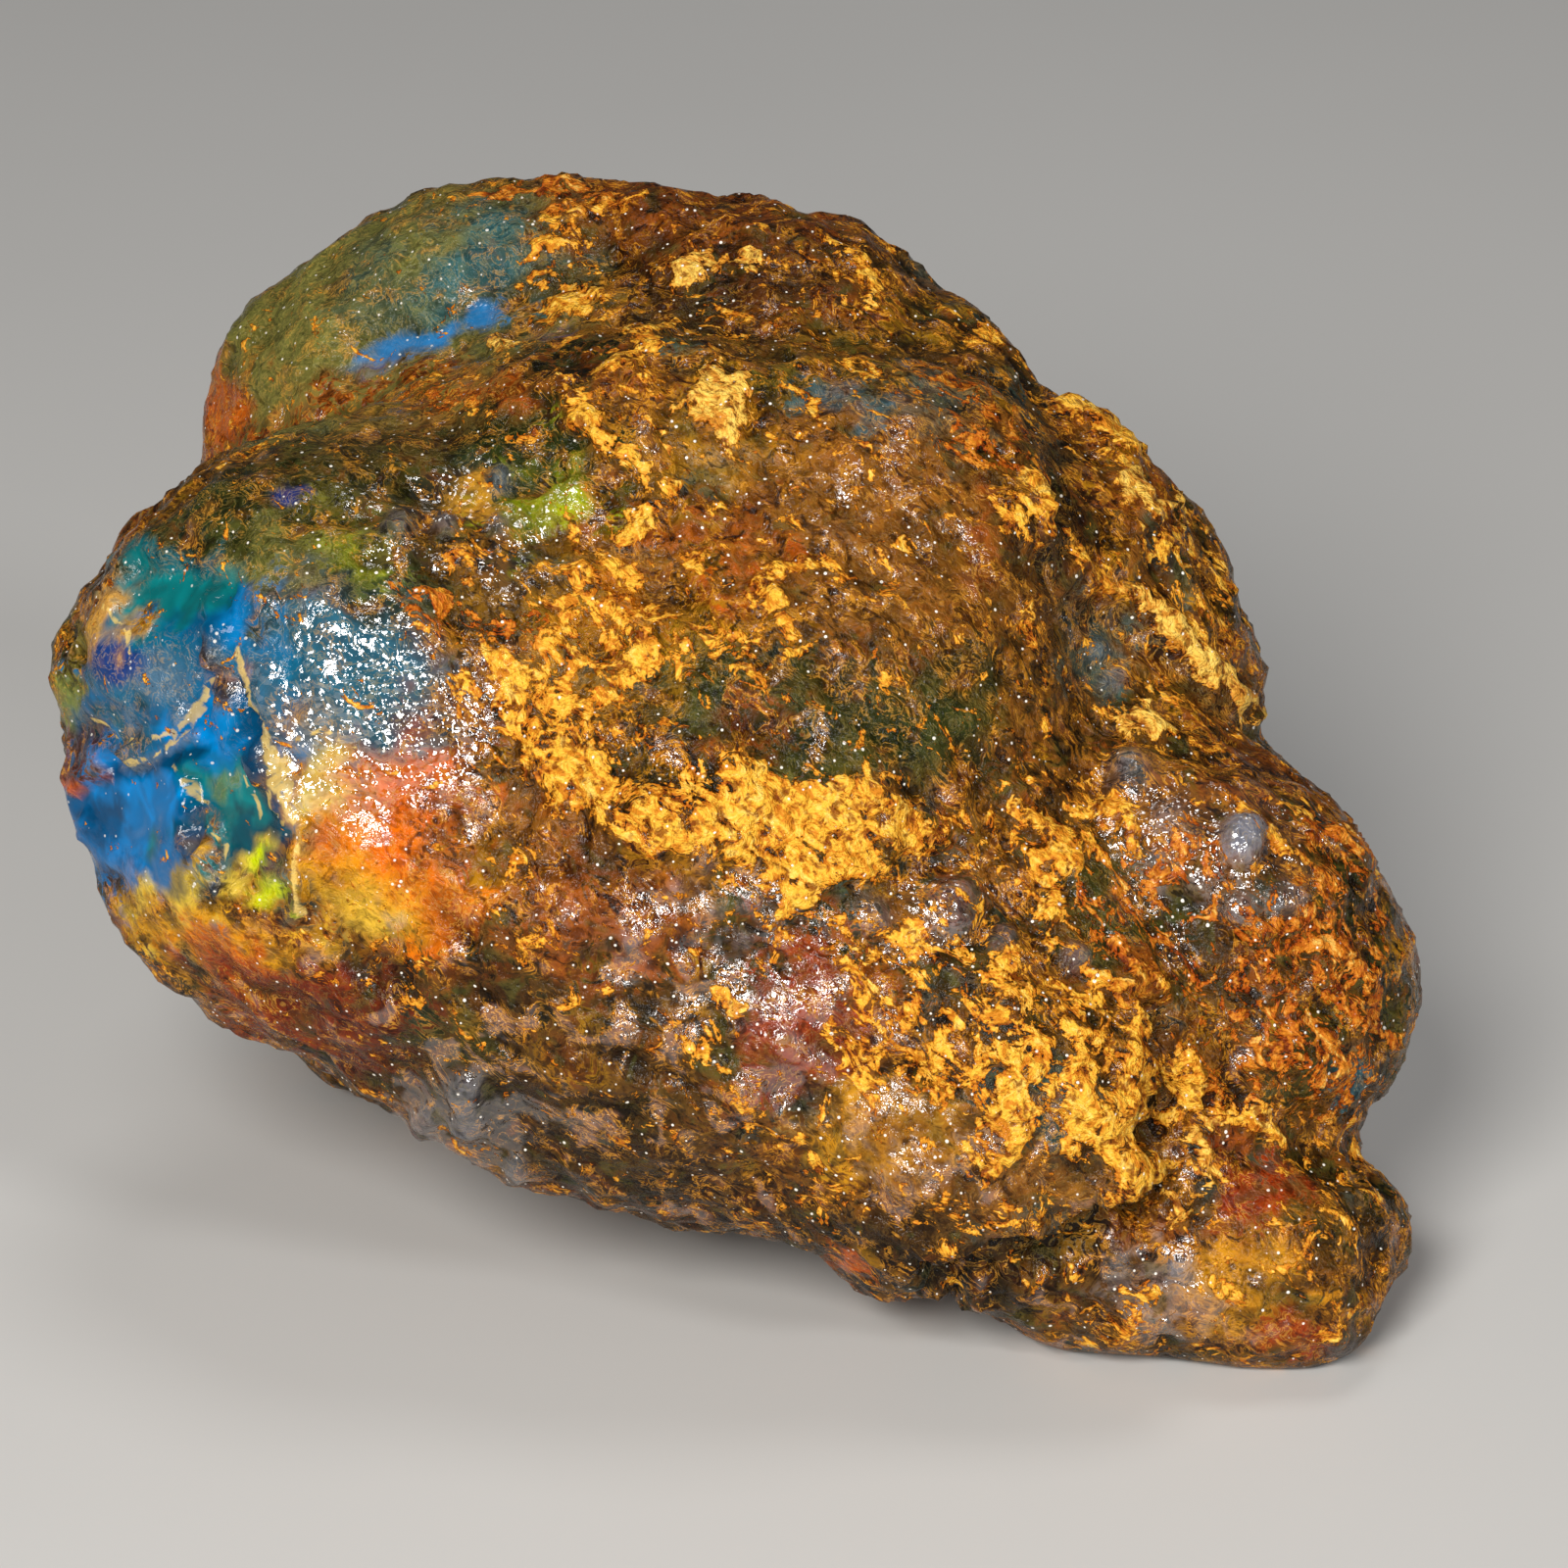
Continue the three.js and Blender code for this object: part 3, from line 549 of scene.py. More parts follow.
CRUST_SHEET = (
    (-10.5, 2.9), (-9.6, 1.5), (-8.5, -1.3), (-6.6, -4.3), (-2.6, -4.1), (0.2, -5.0),
    (2.4, -6.6), (2.6, -7.8), (4.2, -7.4), (5.0, -5.9), (7.0, -5.3), (8.7, -3.7),
    (11.0, -3.0), (8.1, -0.2), (4.4, 0.5), (0.5, 0.9), (-2.6, 0.2), (-5.4, 0.2),
)

GROUNDS = (
    Ground(Tone.BROWN, Lumps(9.0, 31.0, 3), 0.0, 0.8),
    Ground(Tone.RUST, Lumps(7.0, 47.0, 3), 0.15, 0.6),
    Ground(Tone.MOSS, Lumps(8.0, 61.0, 3), 0.15, 0.7),
    Ground(Tone.HONEY, Lumps(5.0, 83.0, 3), 0.35, 0.5),
    Ground(Tone.SLATE, Lumps(7.0, 97.0, 3), 0.35, 0.6),
)


@dataclass(frozen=True)
class Edges:
    """How noise pushes the marks' edges about: wide and fine bends, and other bends for the under coat."""

    wide: tuple[Lumps, Lumps] = (Lumps(3.6, 3.0, 2), Lumps(3.6, 19.0, 2))
    fine: tuple[Lumps, Lumps] = (Lumps(1.3, 7.0, 2), Lumps(1.3, 23.0, 2))
    under: tuple[Lumps, Lumps] = (Lumps(2.4, 67.0, 3), Lumps(2.4, 71.0, 3))
    wide_push: Pair = (1.3, 2.6)
    fine_push: Pair = (0.9, 1.2)
    under_push: Pair = (2.4, 2.0)
    sheet_push: Pair = (0.8, 0.5)


@dataclass(frozen=True)
class Relief:
    """The swells, folds, wrinkles and pimples, in millimetres, and how much calm places lose of them."""

    swells: Lumps = Lumps(6.5, 11.0, 2)
    folds: Lumps = Lumps(4.2, 13.0, 2)
    wrinkles: Lumps = Lumps(1.9, 37.0, 2)
    pimples: Lumps = Lumps(1.2, 17.0, 2)
    swell_height: float = 0.6
    fold_height: float = 0.9
    wrinkle_height: float = 0.4
    pimple_height: float = 0.15
    mean_fold: float = 0.35
    calm_swells: float = 0.4
    calm_folds: float = 0.85
    hollow: Pair = (0.25, 0.6)
    crest: Pair = (0.12, 0.0)
    hollow_shares: Pair = (0.6, 0.5)
    crest_share: float = 0.5
    # how dark the painted shade in the fold hollows is
    hollow_shade: float = 0.88
    crest_crust: float = 0.16


@dataclass(frozen=True)
class Flow:
    """The way the resin flowed, how far folds are drawn out along it, and how it bends."""

    way: Triple = (0.7, -0.7, 0.0)
    stretch: float = 1.8
    bends: Lumps = Lumps(9.0, 53.0, 1)
    bend_reach: float = 1.5
    bend_way: Triple = (0.5, 0.8, 0.3)

    def drawn_out(self, points: np.ndarray, places: np.ndarray) -> np.ndarray:
        """Squeezes places along the flow, so that noise on them is drawn out in folds.

        Args:
            points: Points in the lump's frame, in millimetres.
            places: The same points as right, up and out.

        Returns:
            The squeezed places.
        """
        way = np.array(self.way) / np.linalg.norm(self.way)
        bent = places + self.bend_reach * self.bends.at(points)[:, None] * np.array(self.bend_way)
        return bent - (1.0 - 1.0 / self.stretch) * (places @ way)[:, None] * way


@dataclass
class AmberLump:
    """The whole lump: one closed skin over the solid, with its relief and its colours in the points."""

    side: ShowSide
    edges: Edges = Edges()
    relief: Relief = Relief()
    flow: Flow = Flow()
    voxel: float = 0.95
    smooth_rounds: int = 3
    smooth_factor: float = 0.5
    merge_gap: float = 0.01
    facing_fade: Pair = (-0.45, 0.1)
    spot_depth: Pair = (1.3, 6.0)
    stroke_depth: float = 8.0
    stroke_reach: float = 1.5
    sheet_depth: float = 14.0
    sheet_edge: Pair = (-1.4, 0.9)
    sheet_solid: Pair = (0.62, 0.3)
    sheet_thin: Pair = (-7.0, -2.0)
    ground_edge: float = 0.35
    under_seed: float = 0.6
    first_under: float = 1.25
    under_gain: float = 1.15
    hidden_crust: Triple = (0.13, 0.14, 0.3)
    crust_lumps: Lumps = Lumps(6.5, 5.0, 3)
    right_side: Pair = (-14.0, 6.0)
    hidden_beads: float = 0.2
    bead_lumps: Lumps = Lumps(5.0, 41.0, 2)
    bead_edge: Pair = (0.0, 0.6)
    flake_gain: float = 2.0
    crust_loss: Pair = (0.2, 0.75)
    bubble_edge: Pair = (0.5, 0.15)
    bubble_rise: float = 0.75
    bubble_paleness: float = 0.32
    wisp_reach: float = 4.0
    chip_edge: Pair = (0.08, 0.3)
    chip_slant: float = 0.5
    chip_limits: Pair = (-1.8, 0.5)
    crust_lift: float = 0.28
    crust_edge: Pair = (0.45, 0.7)
    crust_bumps: Lumps = Lumps(1.3, 29.0, 2)
    crust_bump: float = 0.9
    window_beads: float = 0.9
    rest_clear: Pair = (0.1, 2.5)
    points: np.ndarray = field(init=False)
    normals: np.ndarray = field(init=False)
    places: np.ndarray = field(init=False)
    spots: np.ndarray = field(init=False)
    facing: np.ndarray = field(init=False)
    tree: BVHTree = field(init=False)
    wide: np.ndarray = field(init=False)
    fine: np.ndarray = field(init=False)
    under_bend: np.ndarray = field(init=False)
    tint: np.ndarray = field(init=False)
    under: np.ndarray = field(init=False)
    flake: np.ndarray = field(init=False)
    crust: np.ndarray = field(init=False)
    window: np.ndarray = field(init=False)
    calm: np.ndarray = field(init=False)
    beads: np.ndarray = field(init=False)

    def bare_mesh(self) -> bpy.types.Object:
        """Makes the fine even mesh that the relief is worked into.

        Returns:
            The lump, remeshed and divided, with its place in its mesh.
        """
        copied = bmesh.new()
        copied.from_mesh(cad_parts["amber"].data)
        bmesh.ops.remove_doubles(copied, verts=copied.verts, dist=self.merge_gap * MM)
        mesh = bpy.data.meshes.new("amber_lump")
        copied.to_mesh(mesh)
        copied.free()
        lump = bpy.data.objects.new("amber_lump", mesh)
        bpy.context.scene.collection.objects.link(lump)
        remesh = lump.modifiers.new("even_faces", "REMESH")
        remesh.mode = "VOXEL"
        remesh.voxel_size = self.voxel * MM
        self.apply(lump)
        relaxed = bmesh.new()
        relaxed.from_mesh(lump.data)
        for _ in range(self.smooth_rounds):
            bmesh.ops.smooth_vert(relaxed, verts=relaxed.verts, factor=self.smooth_factor, use_axis_x=True,
                                  use_axis_y=True, use_axis_z=True)
        relaxed.to_mesh(lump.data)
        relaxed.free()
        divide = lump.modifiers.new("fine_faces", "SUBSURF")
        divide.levels = 1
        divide.render_levels = 1
        self.apply(lump)
        return lump

    @staticmethod
    def apply(piece: bpy.types.Object) -> None:
        """Turns a piece's modifiers into its mesh.

        Args:
            piece: The piece.
        """
        solid = piece.evaluated_get(bpy.context.evaluated_depsgraph_get())
        mesh = bpy.data.meshes.new_from_object(solid)
        piece.modifiers.clear()
        piece.data = mesh

    def read(self, lump: bpy.types.Object) -> None:
        """Reads the points and what the marks need of them.

        Args:
            lump: The bare lump.
        """
        flat = np.zeros(len(lump.data.vertices) * 3)
        lump.data.vertices.foreach_get("co", flat)
        self.points = flat.reshape(-1, 3) / MM
        lump.data.vertices.foreach_get("normal", flat)
        self.normals = flat.reshape(-1, 3).copy()
        self.places = self.side.turn(self.points)
        self.spots = self.side.seen(self.places)
        ahead = self.side.eye_point() - self.points
        ahead /= np.linalg.norm(ahead, axis=1)[:, None]
        self.facing = smooth(*self.facing_fade, np.sum(ahead * self.normals, axis=1))
        self.tree = BVHTree.FromObject(lump, bpy.context.evaluated_depsgraph_get())
        self.wide, self.fine, self.under_bend = (
            np.stack([lumps.at(self.points) for lumps in pair], axis=1)
            for pair in (self.edges.wide, self.edges.fine, self.edges.under)
        )

    def depth_at(self, at: Pair) -> float:
        """How far out the surface is where the viewer sees a place.

        Args:
            at: The seen place in millimetres.

        Returns:
            The outward distance from the middle plane, in millimetres.
        """
        eye = self.side.eye_point()
        target = self.side.back(np.array([[at[0], at[1], 0.0]]))[0]
        towards = Vector(target - eye).normalized()
        hit = self.tree.ray_cast(Vector(eye * MM), towards)[0]
        if hit is None:
            hit = self.tree.find_nearest(Vector(target * MM))[0]
        return float(self.side.turn(np.array([hit[:]]) / MM)[0, 2])

    def ragged_offsets(self, at: Pair, reach: float, ragged: float, under: bool = False) -> np.ndarray:
        """Offsets from a seen place, pushed about by noise.

        Args:
            at: The seen place in millimetres.
            reach: The size of what is drawn there.
            ragged: How ragged its edge is, 1 being usual.
            under: Whether it is for the under coat, whose edges run elsewhere.

        Returns:
            Right and up offsets, one row a point.
        """
        offset = self.spots - np.array(at)
        if under:
            push, most = self.edges.under_push
            return offset + push * ragged * min(reach, most) * self.under_bend
        push, most = self.edges.wide_push
        wide = push * ragged * min(reach, most)
        push, most = self.edges.fine_push
        fine = push * ragged * min(reach, most)
        return offset + wide * self.wide + fine * self.fine

    def spot_share(self, spot: Spot, under: bool = False) -> np.ndarray:
        """How much of a spot each point takes.

        Args:
            spot: The spot.
            under: Whether it is for the under coat.

        Returns:
            0 to 1 for each point.
        """
        offset = self.ragged_offsets(spot.at, min(spot.size), spot.ragged, under)
        angle = math.radians(spot.turn)
        length = offset[:, 0] * math.cos(angle) + offset[:, 1] * math.sin(angle)
        breadth = offset[:, 1] * math.cos(angle) - offset[:, 0] * math.sin(angle)
        share, least = self.spot_depth
        depth = (self.places[:, 2] - self.depth_at(spot.at)) / (max(spot.size) * share + least)
        away = np.sqrt((length / spot.size[0]) ** 2 + (breadth / spot.size[1]) ** 2 + depth ** 2)
        return spot.weight * smooth(1.0 + spot.soft, 1.0 - spot.soft, away) * self.facing

    def stroke_away(self, stroke: Stroke) -> np.ndarray:
        """How far each point is from a stroke, in half widths of it.

        Args:
            stroke: The stroke.

        Returns:
            The distance of each point, at least 0.
        """
        offset = self.ragged_offsets((0.0, 0.0), stroke.width * self.stroke_reach, stroke.ragged)
        nearest = np.full(len(offset), FAR)
        for start, end in zip(stroke.points, stroke.points[1:]):
            share, gap = along(offset, np.array(start), np.array(end))
            depths = self.depth_at(start) + share * (self.depth_at(end) - self.depth_at(start))
            behind = (self.places[:, 2] - depths) / self.stroke_depth
            nearest = np.minimum(nearest, np.sqrt((gap / stroke.width) ** 2 + behind ** 2))
        return nearest

    def stroke_share(self, stroke: Stroke) -> np.ndarray:
        """How much of a stroke each point takes, 0 to 1."""
        inside = smooth(1.0 + stroke.soft, 1.0 - stroke.soft, self.stroke_away(stroke))
        return stroke.weight * inside * self.facing

    def sheet_share(self) -> np.ndarray:
        """How much of the main crust sheet each point takes.

        Returns:
            0 outside its outline, up to 1 well inside.
        """
        wide, fine = self.edges.sheet_push
        offset = self.spots + wide * self.wide + fine * self.fine
        inside = np.zeros(len(offset), dtype=bool)
        edge = np.full(len(offset), FAR)
        corners = [np.array(corner) for corner in CRUST_SHEET]
        for first, last in zip(corners, corners[1:] + corners[:1]):
            edge = np.minimum(edge, along(offset, first, last)[1])
            if first[1] == last[1]:
                continue
            spans = (first[1] > offset[:, 1]) != (last[1] > offset[:, 1])
            crossing = first[0] + (offset[:, 1] - first[1]) / (last[1] - first[1]) * (last[0] - first[0])
            inside ^= spans & (offset[:, 0] < crossing)
        least, more = self.sheet_solid
        solid = least + more * smooth(*self.sheet_thin, self.spots[:, 0])
        signed = np.where(inside, edge, -edge)
        return solid * smooth(*self.sheet_edge, signed) * (self.places[:, 2] > self.sheet_depth) * self.facing

    def hidden_colours(self) -> None:
        """Colours the whole lump from noise, for the ground between the marks and for the hidden side."""
        self.tint = np.tile(Tone.UMBER.colour, (len(self.points), 1))
        self.flake = np.tile(Tone.GOLD.colour, (len(self.points), 1))
        self.under = self.tint * self.first_under
        for ground in GROUNDS:
            for coat, moved in ((self.tint, 0.0), (self.under, self.under_seed)):
                found = ground.noise.at(self.points, moved)
                share = ground.weight * smooth(ground.least, ground.least + self.ground_edge, found)
                coat += share[:, None] * (ground.tone.colour - coat)
        least, right, rough = self.hidden_crust
        right_side = smooth(*self.right_side, self.places[:, 0])
        self.crust = least + right * right_side + rough * self.crust_lumps.at(self.points)
        self.window = np.zeros(len(self.points))
        self.calm = np.zeros(len(self.points))
        self.beads = smooth(*self.bead_edge, self.bead_lumps.at(self.points)) * self.hidden_beads

    def paint(self, tone: Tone, share: np.ndarray) -> None:
        """Lays one tone over the points.

        Args:
            tone: The tone.
            share: How much of it each point takes.
        """
        if tone.layer is Layer.CRUST:
            self.crust = np.maximum(self.crust, share)
            gilt = np.clip(share * self.flake_gain, 0.0, 1.0)
            self.flake += gilt[:, None] * (tone.colour - self.flake)
        if tone.layer in (Layer.SKIN, Layer.WINDOW):
            self.tint += share[:, None] * (tone.colour - self.tint)
            clear = 1.0 if tone.layer is Layer.WINDOW else 0.0
            self.window += share * (clear - self.window)
            self.calm += share * (tone.calm - self.calm)
            least, more = self.crust_loss
            self.crust *= 1.0 - share * (least + more * tone.calm)

    def fold(self) -> np.ndarray:
        """Works the folds into the colours: painted shade in the hollows, more crust on the crests.

        Returns:
            How far the relief lifts each point, in millimetres.
        """
        made = self.relief
        flowing = self.flow.drawn_out(self.points, self.places)
        swells = made.swell_height * made.swells.at(self.points)
        folds = np.abs(made.folds.at(flowing))
        wrinkles = np.abs(made.wrinkles.at(flowing))
        pimples = made.pimple_height * made.pimples.at(self.points)
        bumpy = 1.0 - made.calm_folds * self.calm
        deep, slight = made.hollow_shares
        hollow = smooth(*made.hollow, folds) * deep + smooth(*made.hollow, wrinkles) * slight
        crest = (smooth(*made.crest, folds) + smooth(*made.crest, wrinkles)) * made.crest_share
        # painted shade: the tint and the under coat are darkened in the hollows of the folds and wrinkles
        shade = 1.0 - made.hollow_shade * bumpy * np.clip(hollow, 0.0, 1.0)
        self.tint *= shade[:, None]
        self.under *= shade[:, None]
        self.crust += bumpy * made.crest_crust * (crest - hollow)
        folded = made.fold_height * (made.mean_fold - folds)
        folded += made.wrinkle_height * (made.mean_fold - wrinkles)
        return swells * (1.0 - made.calm_swells * self.calm) + bumpy * (folded + pimples)

    def chip_lift(self, chip: Chip) -> np.ndarray:
        """How far a flat break moves each point along its normal, in millimetres.

        Args:
            chip: The break.

        Returns:
            The lift of each point, below 0 where the surface is cut back.
        """
        share = self.spot_share(Spot(Tone.BARE, chip.at, chip.size, chip.turn, 1.0, 0.0, *self.chip_edge))
        middle = (self.points * share[:, None]).sum(0) / share.sum()
        level = (self.normals * share[:, None]).sum(0) / share.sum()
        axes = self.side.axes()
        level += chip.tilt[0] * axes[0] + chip.tilt[1] * axes[1]
        level /= np.linalg.norm(level)
        above = (self.points - middle) @ level + chip.depth
        slant = np.maximum(self.normals @ level, self.chip_slant)
        return share * np.clip(-above / slant, *self.chip_limits)

    def marks_lift(self) -> np.ndarray:
        """Paints all marks, coat by coat.

        Returns:
            How far the marks lift each point, in millimetres.
        """
        lift = np.zeros(len(self.points))
        for mark in SPOTS + CRUSTS:
            share = self.spot_share(mark)
            self.paint(mark.tone, share)
            lift += mark.rise * share
            if mark.tone.layer in (Layer.SKIN, Layer.WINDOW):
                share = self.spot_share(mark, under=True)
                self.under += share[:, None] * (mark.tone.colour * self.under_gain - self.under)
        for stroke in STROKES:
            share = self.stroke_share(stroke)
            self.paint(stroke.tone, share)
            lift += stroke.rise * share
        self.paint(Tone.GOLD, self.sheet_share())
        for at, radius in BUBBLES:
            share = self.spot_share(Spot(Tone.BARE, at, (radius, radius), 0.0, 1.0, 0.0, *self.bubble_edge))
            lift += self.bubble_rise * radius * share
            self.paint(Tone.PEARL_AND_SHEEN, self.bubble_paleness * share)
            self.under += self.bubble_paleness * share[:, None] * (Tone.PEARL_AND_SHEEN.colour - self.under)
        for chip in CHIPS:
            lift += self.chip_lift(chip)
        for patch in BEADED:
            self.beads = np.maximum(self.beads, self.spot_share(patch))
        return lift

    def dress(self, lump: bpy.types.Object) -> None:
        """Colours the points and works the relief in.

        Args:
            lump: The bare lump.
        """
        self.read(lump)
        self.hidden_colours()
        lift = self.marks_lift() + self.fold()
        bumps = 1.0 + self.crust_bump * self.crust_bumps.at(self.points)
        lift += self.crust_lift * smooth(*self.crust_edge, self.crust) * bumps
        lift *= smooth(*self.rest_clear, self.points[:, 2])
        moved = self.points + lift[:, None] * self.normals
        moved[:, 2] = np.maximum(moved[:, 2], 0.0)
        lump.data.vertices.foreach_set("co", (moved * MM).ravel())
        wisp = np.full(len(self.points), self.wisp_reach)
        for stroke in WISPS:
            wisp = np.minimum(wisp, self.stroke_away(stroke) + self.wisp_reach * (1.0 - self.facing))
        beads = self.beads * (1.0 - self.window_beads * self.window)
        fields = {"tint": self.tint, "under": self.under, "flake": self.flake, "crust": self.crust,
                  "wisp": wisp, "window": self.window, "calm": self.calm, "beads": beads}
        for name, values in fields.items():
            self.store(lump.data, name, values)
        lump.data.shade_smooth()
        lump.data.update()

    @staticmethod
    def store(mesh: bpy.types.Mesh, name: str, values: np.ndarray) -> None:
        """Writes one value or colour a point into the mesh.

        Args:
            mesh: The mesh.
            name: The attribute's name.
            values: One number or one colour a row.
        """
        if values.ndim == 1:
            layer = mesh.attributes.new(name, "FLOAT", "POINT")
            layer.data.foreach_set("value", values.astype(np.float32))
            return
        layer = mesh.attributes.new(name, "FLOAT_COLOR", "POINT")
        full = np.concatenate([values, np.ones((len(values), 1))], axis=1)
        layer.data.foreach_set("color", full.astype(np.float32).ravel())

    def build(self) -> bpy.types.Object:
        """Builds and dresses the lump.

        Returns:
            The finished piece.
        """
        lump = self.bare_mesh()
        self.dress(lump)
        lump.data.materials.append(AmberFinish().material())
        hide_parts("amber")
        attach(lump, "root")
        return lump


@dataclass(frozen=True)
class Veil:
    """A colour laid over another, from nothing where noise is at the first edge to `share` at the second."""

    edges: Pair
    share: float
    colour: Colour
    blend: str = "MIX"


class Value:
    """A shader socket that can be added, taken away and multiplied."""

    def __init__(self, shader: "Shader", socket: bpy.types.NodeSocket) -> None:
        """Wraps a socket of a shader."""
        self.shader = shader
        self.socket = socket

    def math(self, operation: str, first: "Value | float", second: "Value | float") -> "Value":
        """Adds one Math node."""
        return self.shader.value("ShaderNodeMath", {"operation": operation}, {0: first, 1: second})

    def __add__(self, other: "Value | float") -> "Value":
        """Adds."""
        return self.math("ADD", self, other)

    def __sub__(self, other: "Value | float") -> "Value":
        """Takes away."""
        return self.math("SUBTRACT", self, other)

    def __mul__(self, other: "Value | float") -> "Value":
        """Multiplies."""
        return self.math("MULTIPLY", self, other)

    def __rsub__(self, other: "Value | float") -> "Value":
        """Takes this away from a number."""
        return self.math("SUBTRACT", other, self)

    __radd__ = __add__
    __rmul__ = __mul__

    def step(self, low: float, high: float) -> "Value":
        """A smooth step from 0 at `low` to 1 at `high`."""
        inputs = {"Value": self, "From Min": low, "From Max": high}
        return self.shader.value("ShaderNodeMapRange", {"interpolation_type": "SMOOTHSTEP"}, inputs)

    def mix(self, first: "Input", second: "Input", blend: str = "MIX") -> "Value":
        """Mixes two colours by this share, from the first at 0 to the second at 1."""
        kind = {"data_type": "RGBA", "blend_type": blend}
        return self.shader.value("ShaderNodeMix", kind, {"Factor": self, "A": first, "B": second}, "Result")

    def blend(self, first: "Value", second: "Value") -> "Value":
        """Mixes two surfaces by this share, from the first at 0 to the second at 1."""
        return self.shader.value("ShaderNodeMixShader", {}, {0: self, 1: first, 2: second})

    def lay(self, veil: Veil, under: "Value", where: "Value | float" = 1.0) -> "Value":
        """Lays a veil over a colour where this noise says, each place taking its share of it."""
        share = self.step(*veil.edges) * veil.share * where
        return share.mix(under, veil.colour, veil.blend)


Input = Value | float | tuple


@dataclass(frozen=True)
class Clouds:
    """Cloudy shader noise: a cloud's size in millimetres, finer layers, how strong they are, and a twist."""

    size: float
    detail: float = 3.0
    rough: float = 0.5
    swirl: float = 0.0


@dataclass
class Shader:
    """One material's nodes."""

    name: str
    tree: bpy.types.NodeTree = field(init=False)
    made: bpy.types.Material = field(init=False)

    def __post_init__(self) -> None:
        """Starts an empty material."""
        self.made = bpy.data.materials.new(self.name)
        self.made.use_nodes = True
        self.tree = self.made.node_tree
        self.tree.nodes.clear()

    def node(self, kind: str, settings: dict[str, object], inputs: dict[object, Input]) -> bpy.types.Node:
        """Adds a node.

        Args:
            kind: The node's type.
            settings: Its own settings, set first.
            inputs: The values or links of its sockets, by name or number.

        Returns:
            The node.
        """
        made = self.tree.nodes.new(kind)
        for key, setting in settings.items():
            setattr(made, key, setting)
        for key, given in inputs.items():
            if isinstance(given, Value):
                self.tree.links.new(given.socket, made.inputs[key])
            else:
                made.inputs[key].default_value = given
        return made

    def value(self, kind: str, settings: dict[str, object], inputs: dict[object, Input],
              output: str | int = 0) -> Value:
        """Adds a node as `node` does, and wraps one of its outputs."""
        return Value(self, self.node(kind, settings, inputs).outputs[output])

    def attribute(self, name: str, output: str = "Fac") -> Value:
        """Reads one of the piece's own attributes, as its "Color" or "Fac" output."""
        return self.value("ShaderNodeAttribute", {"attribute_name": name}, {}, output)

    def place(self) -> Value:
        """The point's place on the piece."""
        return self.value("ShaderNodeTexCoord", {}, {}, "Object")

    def noise(self, place: Value, clouds: Clouds) -> Value:
        """Cloudy noise, 0 to 1."""
        return self.value("ShaderNodeTexNoise", {"noise_dimensions": "3D"}, {
            "Vector": place, "Scale": 1.0 / (clouds.size * MM), "Detail": clouds.detail,
            "Roughness": clouds.rough, "Distortion": clouds.swirl,
        })

    def cells(self, place: Value, size: float) -> Value:
        """How far the point is from the middle of the nearest scattered cell, in shares of `size` mm."""
        inputs = {"Vector": place, "Scale": 1.0 / (size * MM)}
        return self.value("ShaderNodeTexVoronoi", {}, inputs, "Distance")

    def drawn_out(self, place: Value, turn: Triple, stretch: float) -> Value:
        """Turns the place so that a pattern is drawn out along the way the resin flowed.

        Args:
            place: The point's place.
            turn: The turn of the flow, in degrees.
            stretch: How much longer the pattern is along it.

        Returns:
            The turned place.
        """
        turned = self.value("ShaderNodeMapping", {"vector_type": "TEXTURE"}, {
            "Vector": place, "Rotation": tuple(math.radians(part) for part in turn),
        })
        squeeze = (1.0 / stretch, 1.0, 1.0)
        return self.value("ShaderNodeVectorMath", {"operation": "MULTIPLY"}, {0: turned, 1: squeeze})


@dataclass(frozen=True)
class Patterns:
    """What the amber's shader reads from the piece: its attributes, and noise over it."""

    tint: Value
    under: Value
    flake: Value
    wisp: Value
    window: Value
    calm: Value
    beads: Value
    cloud: Value
    speck: Value
    threads: Value
    cells: Value
    cover: Value
    crust: Value


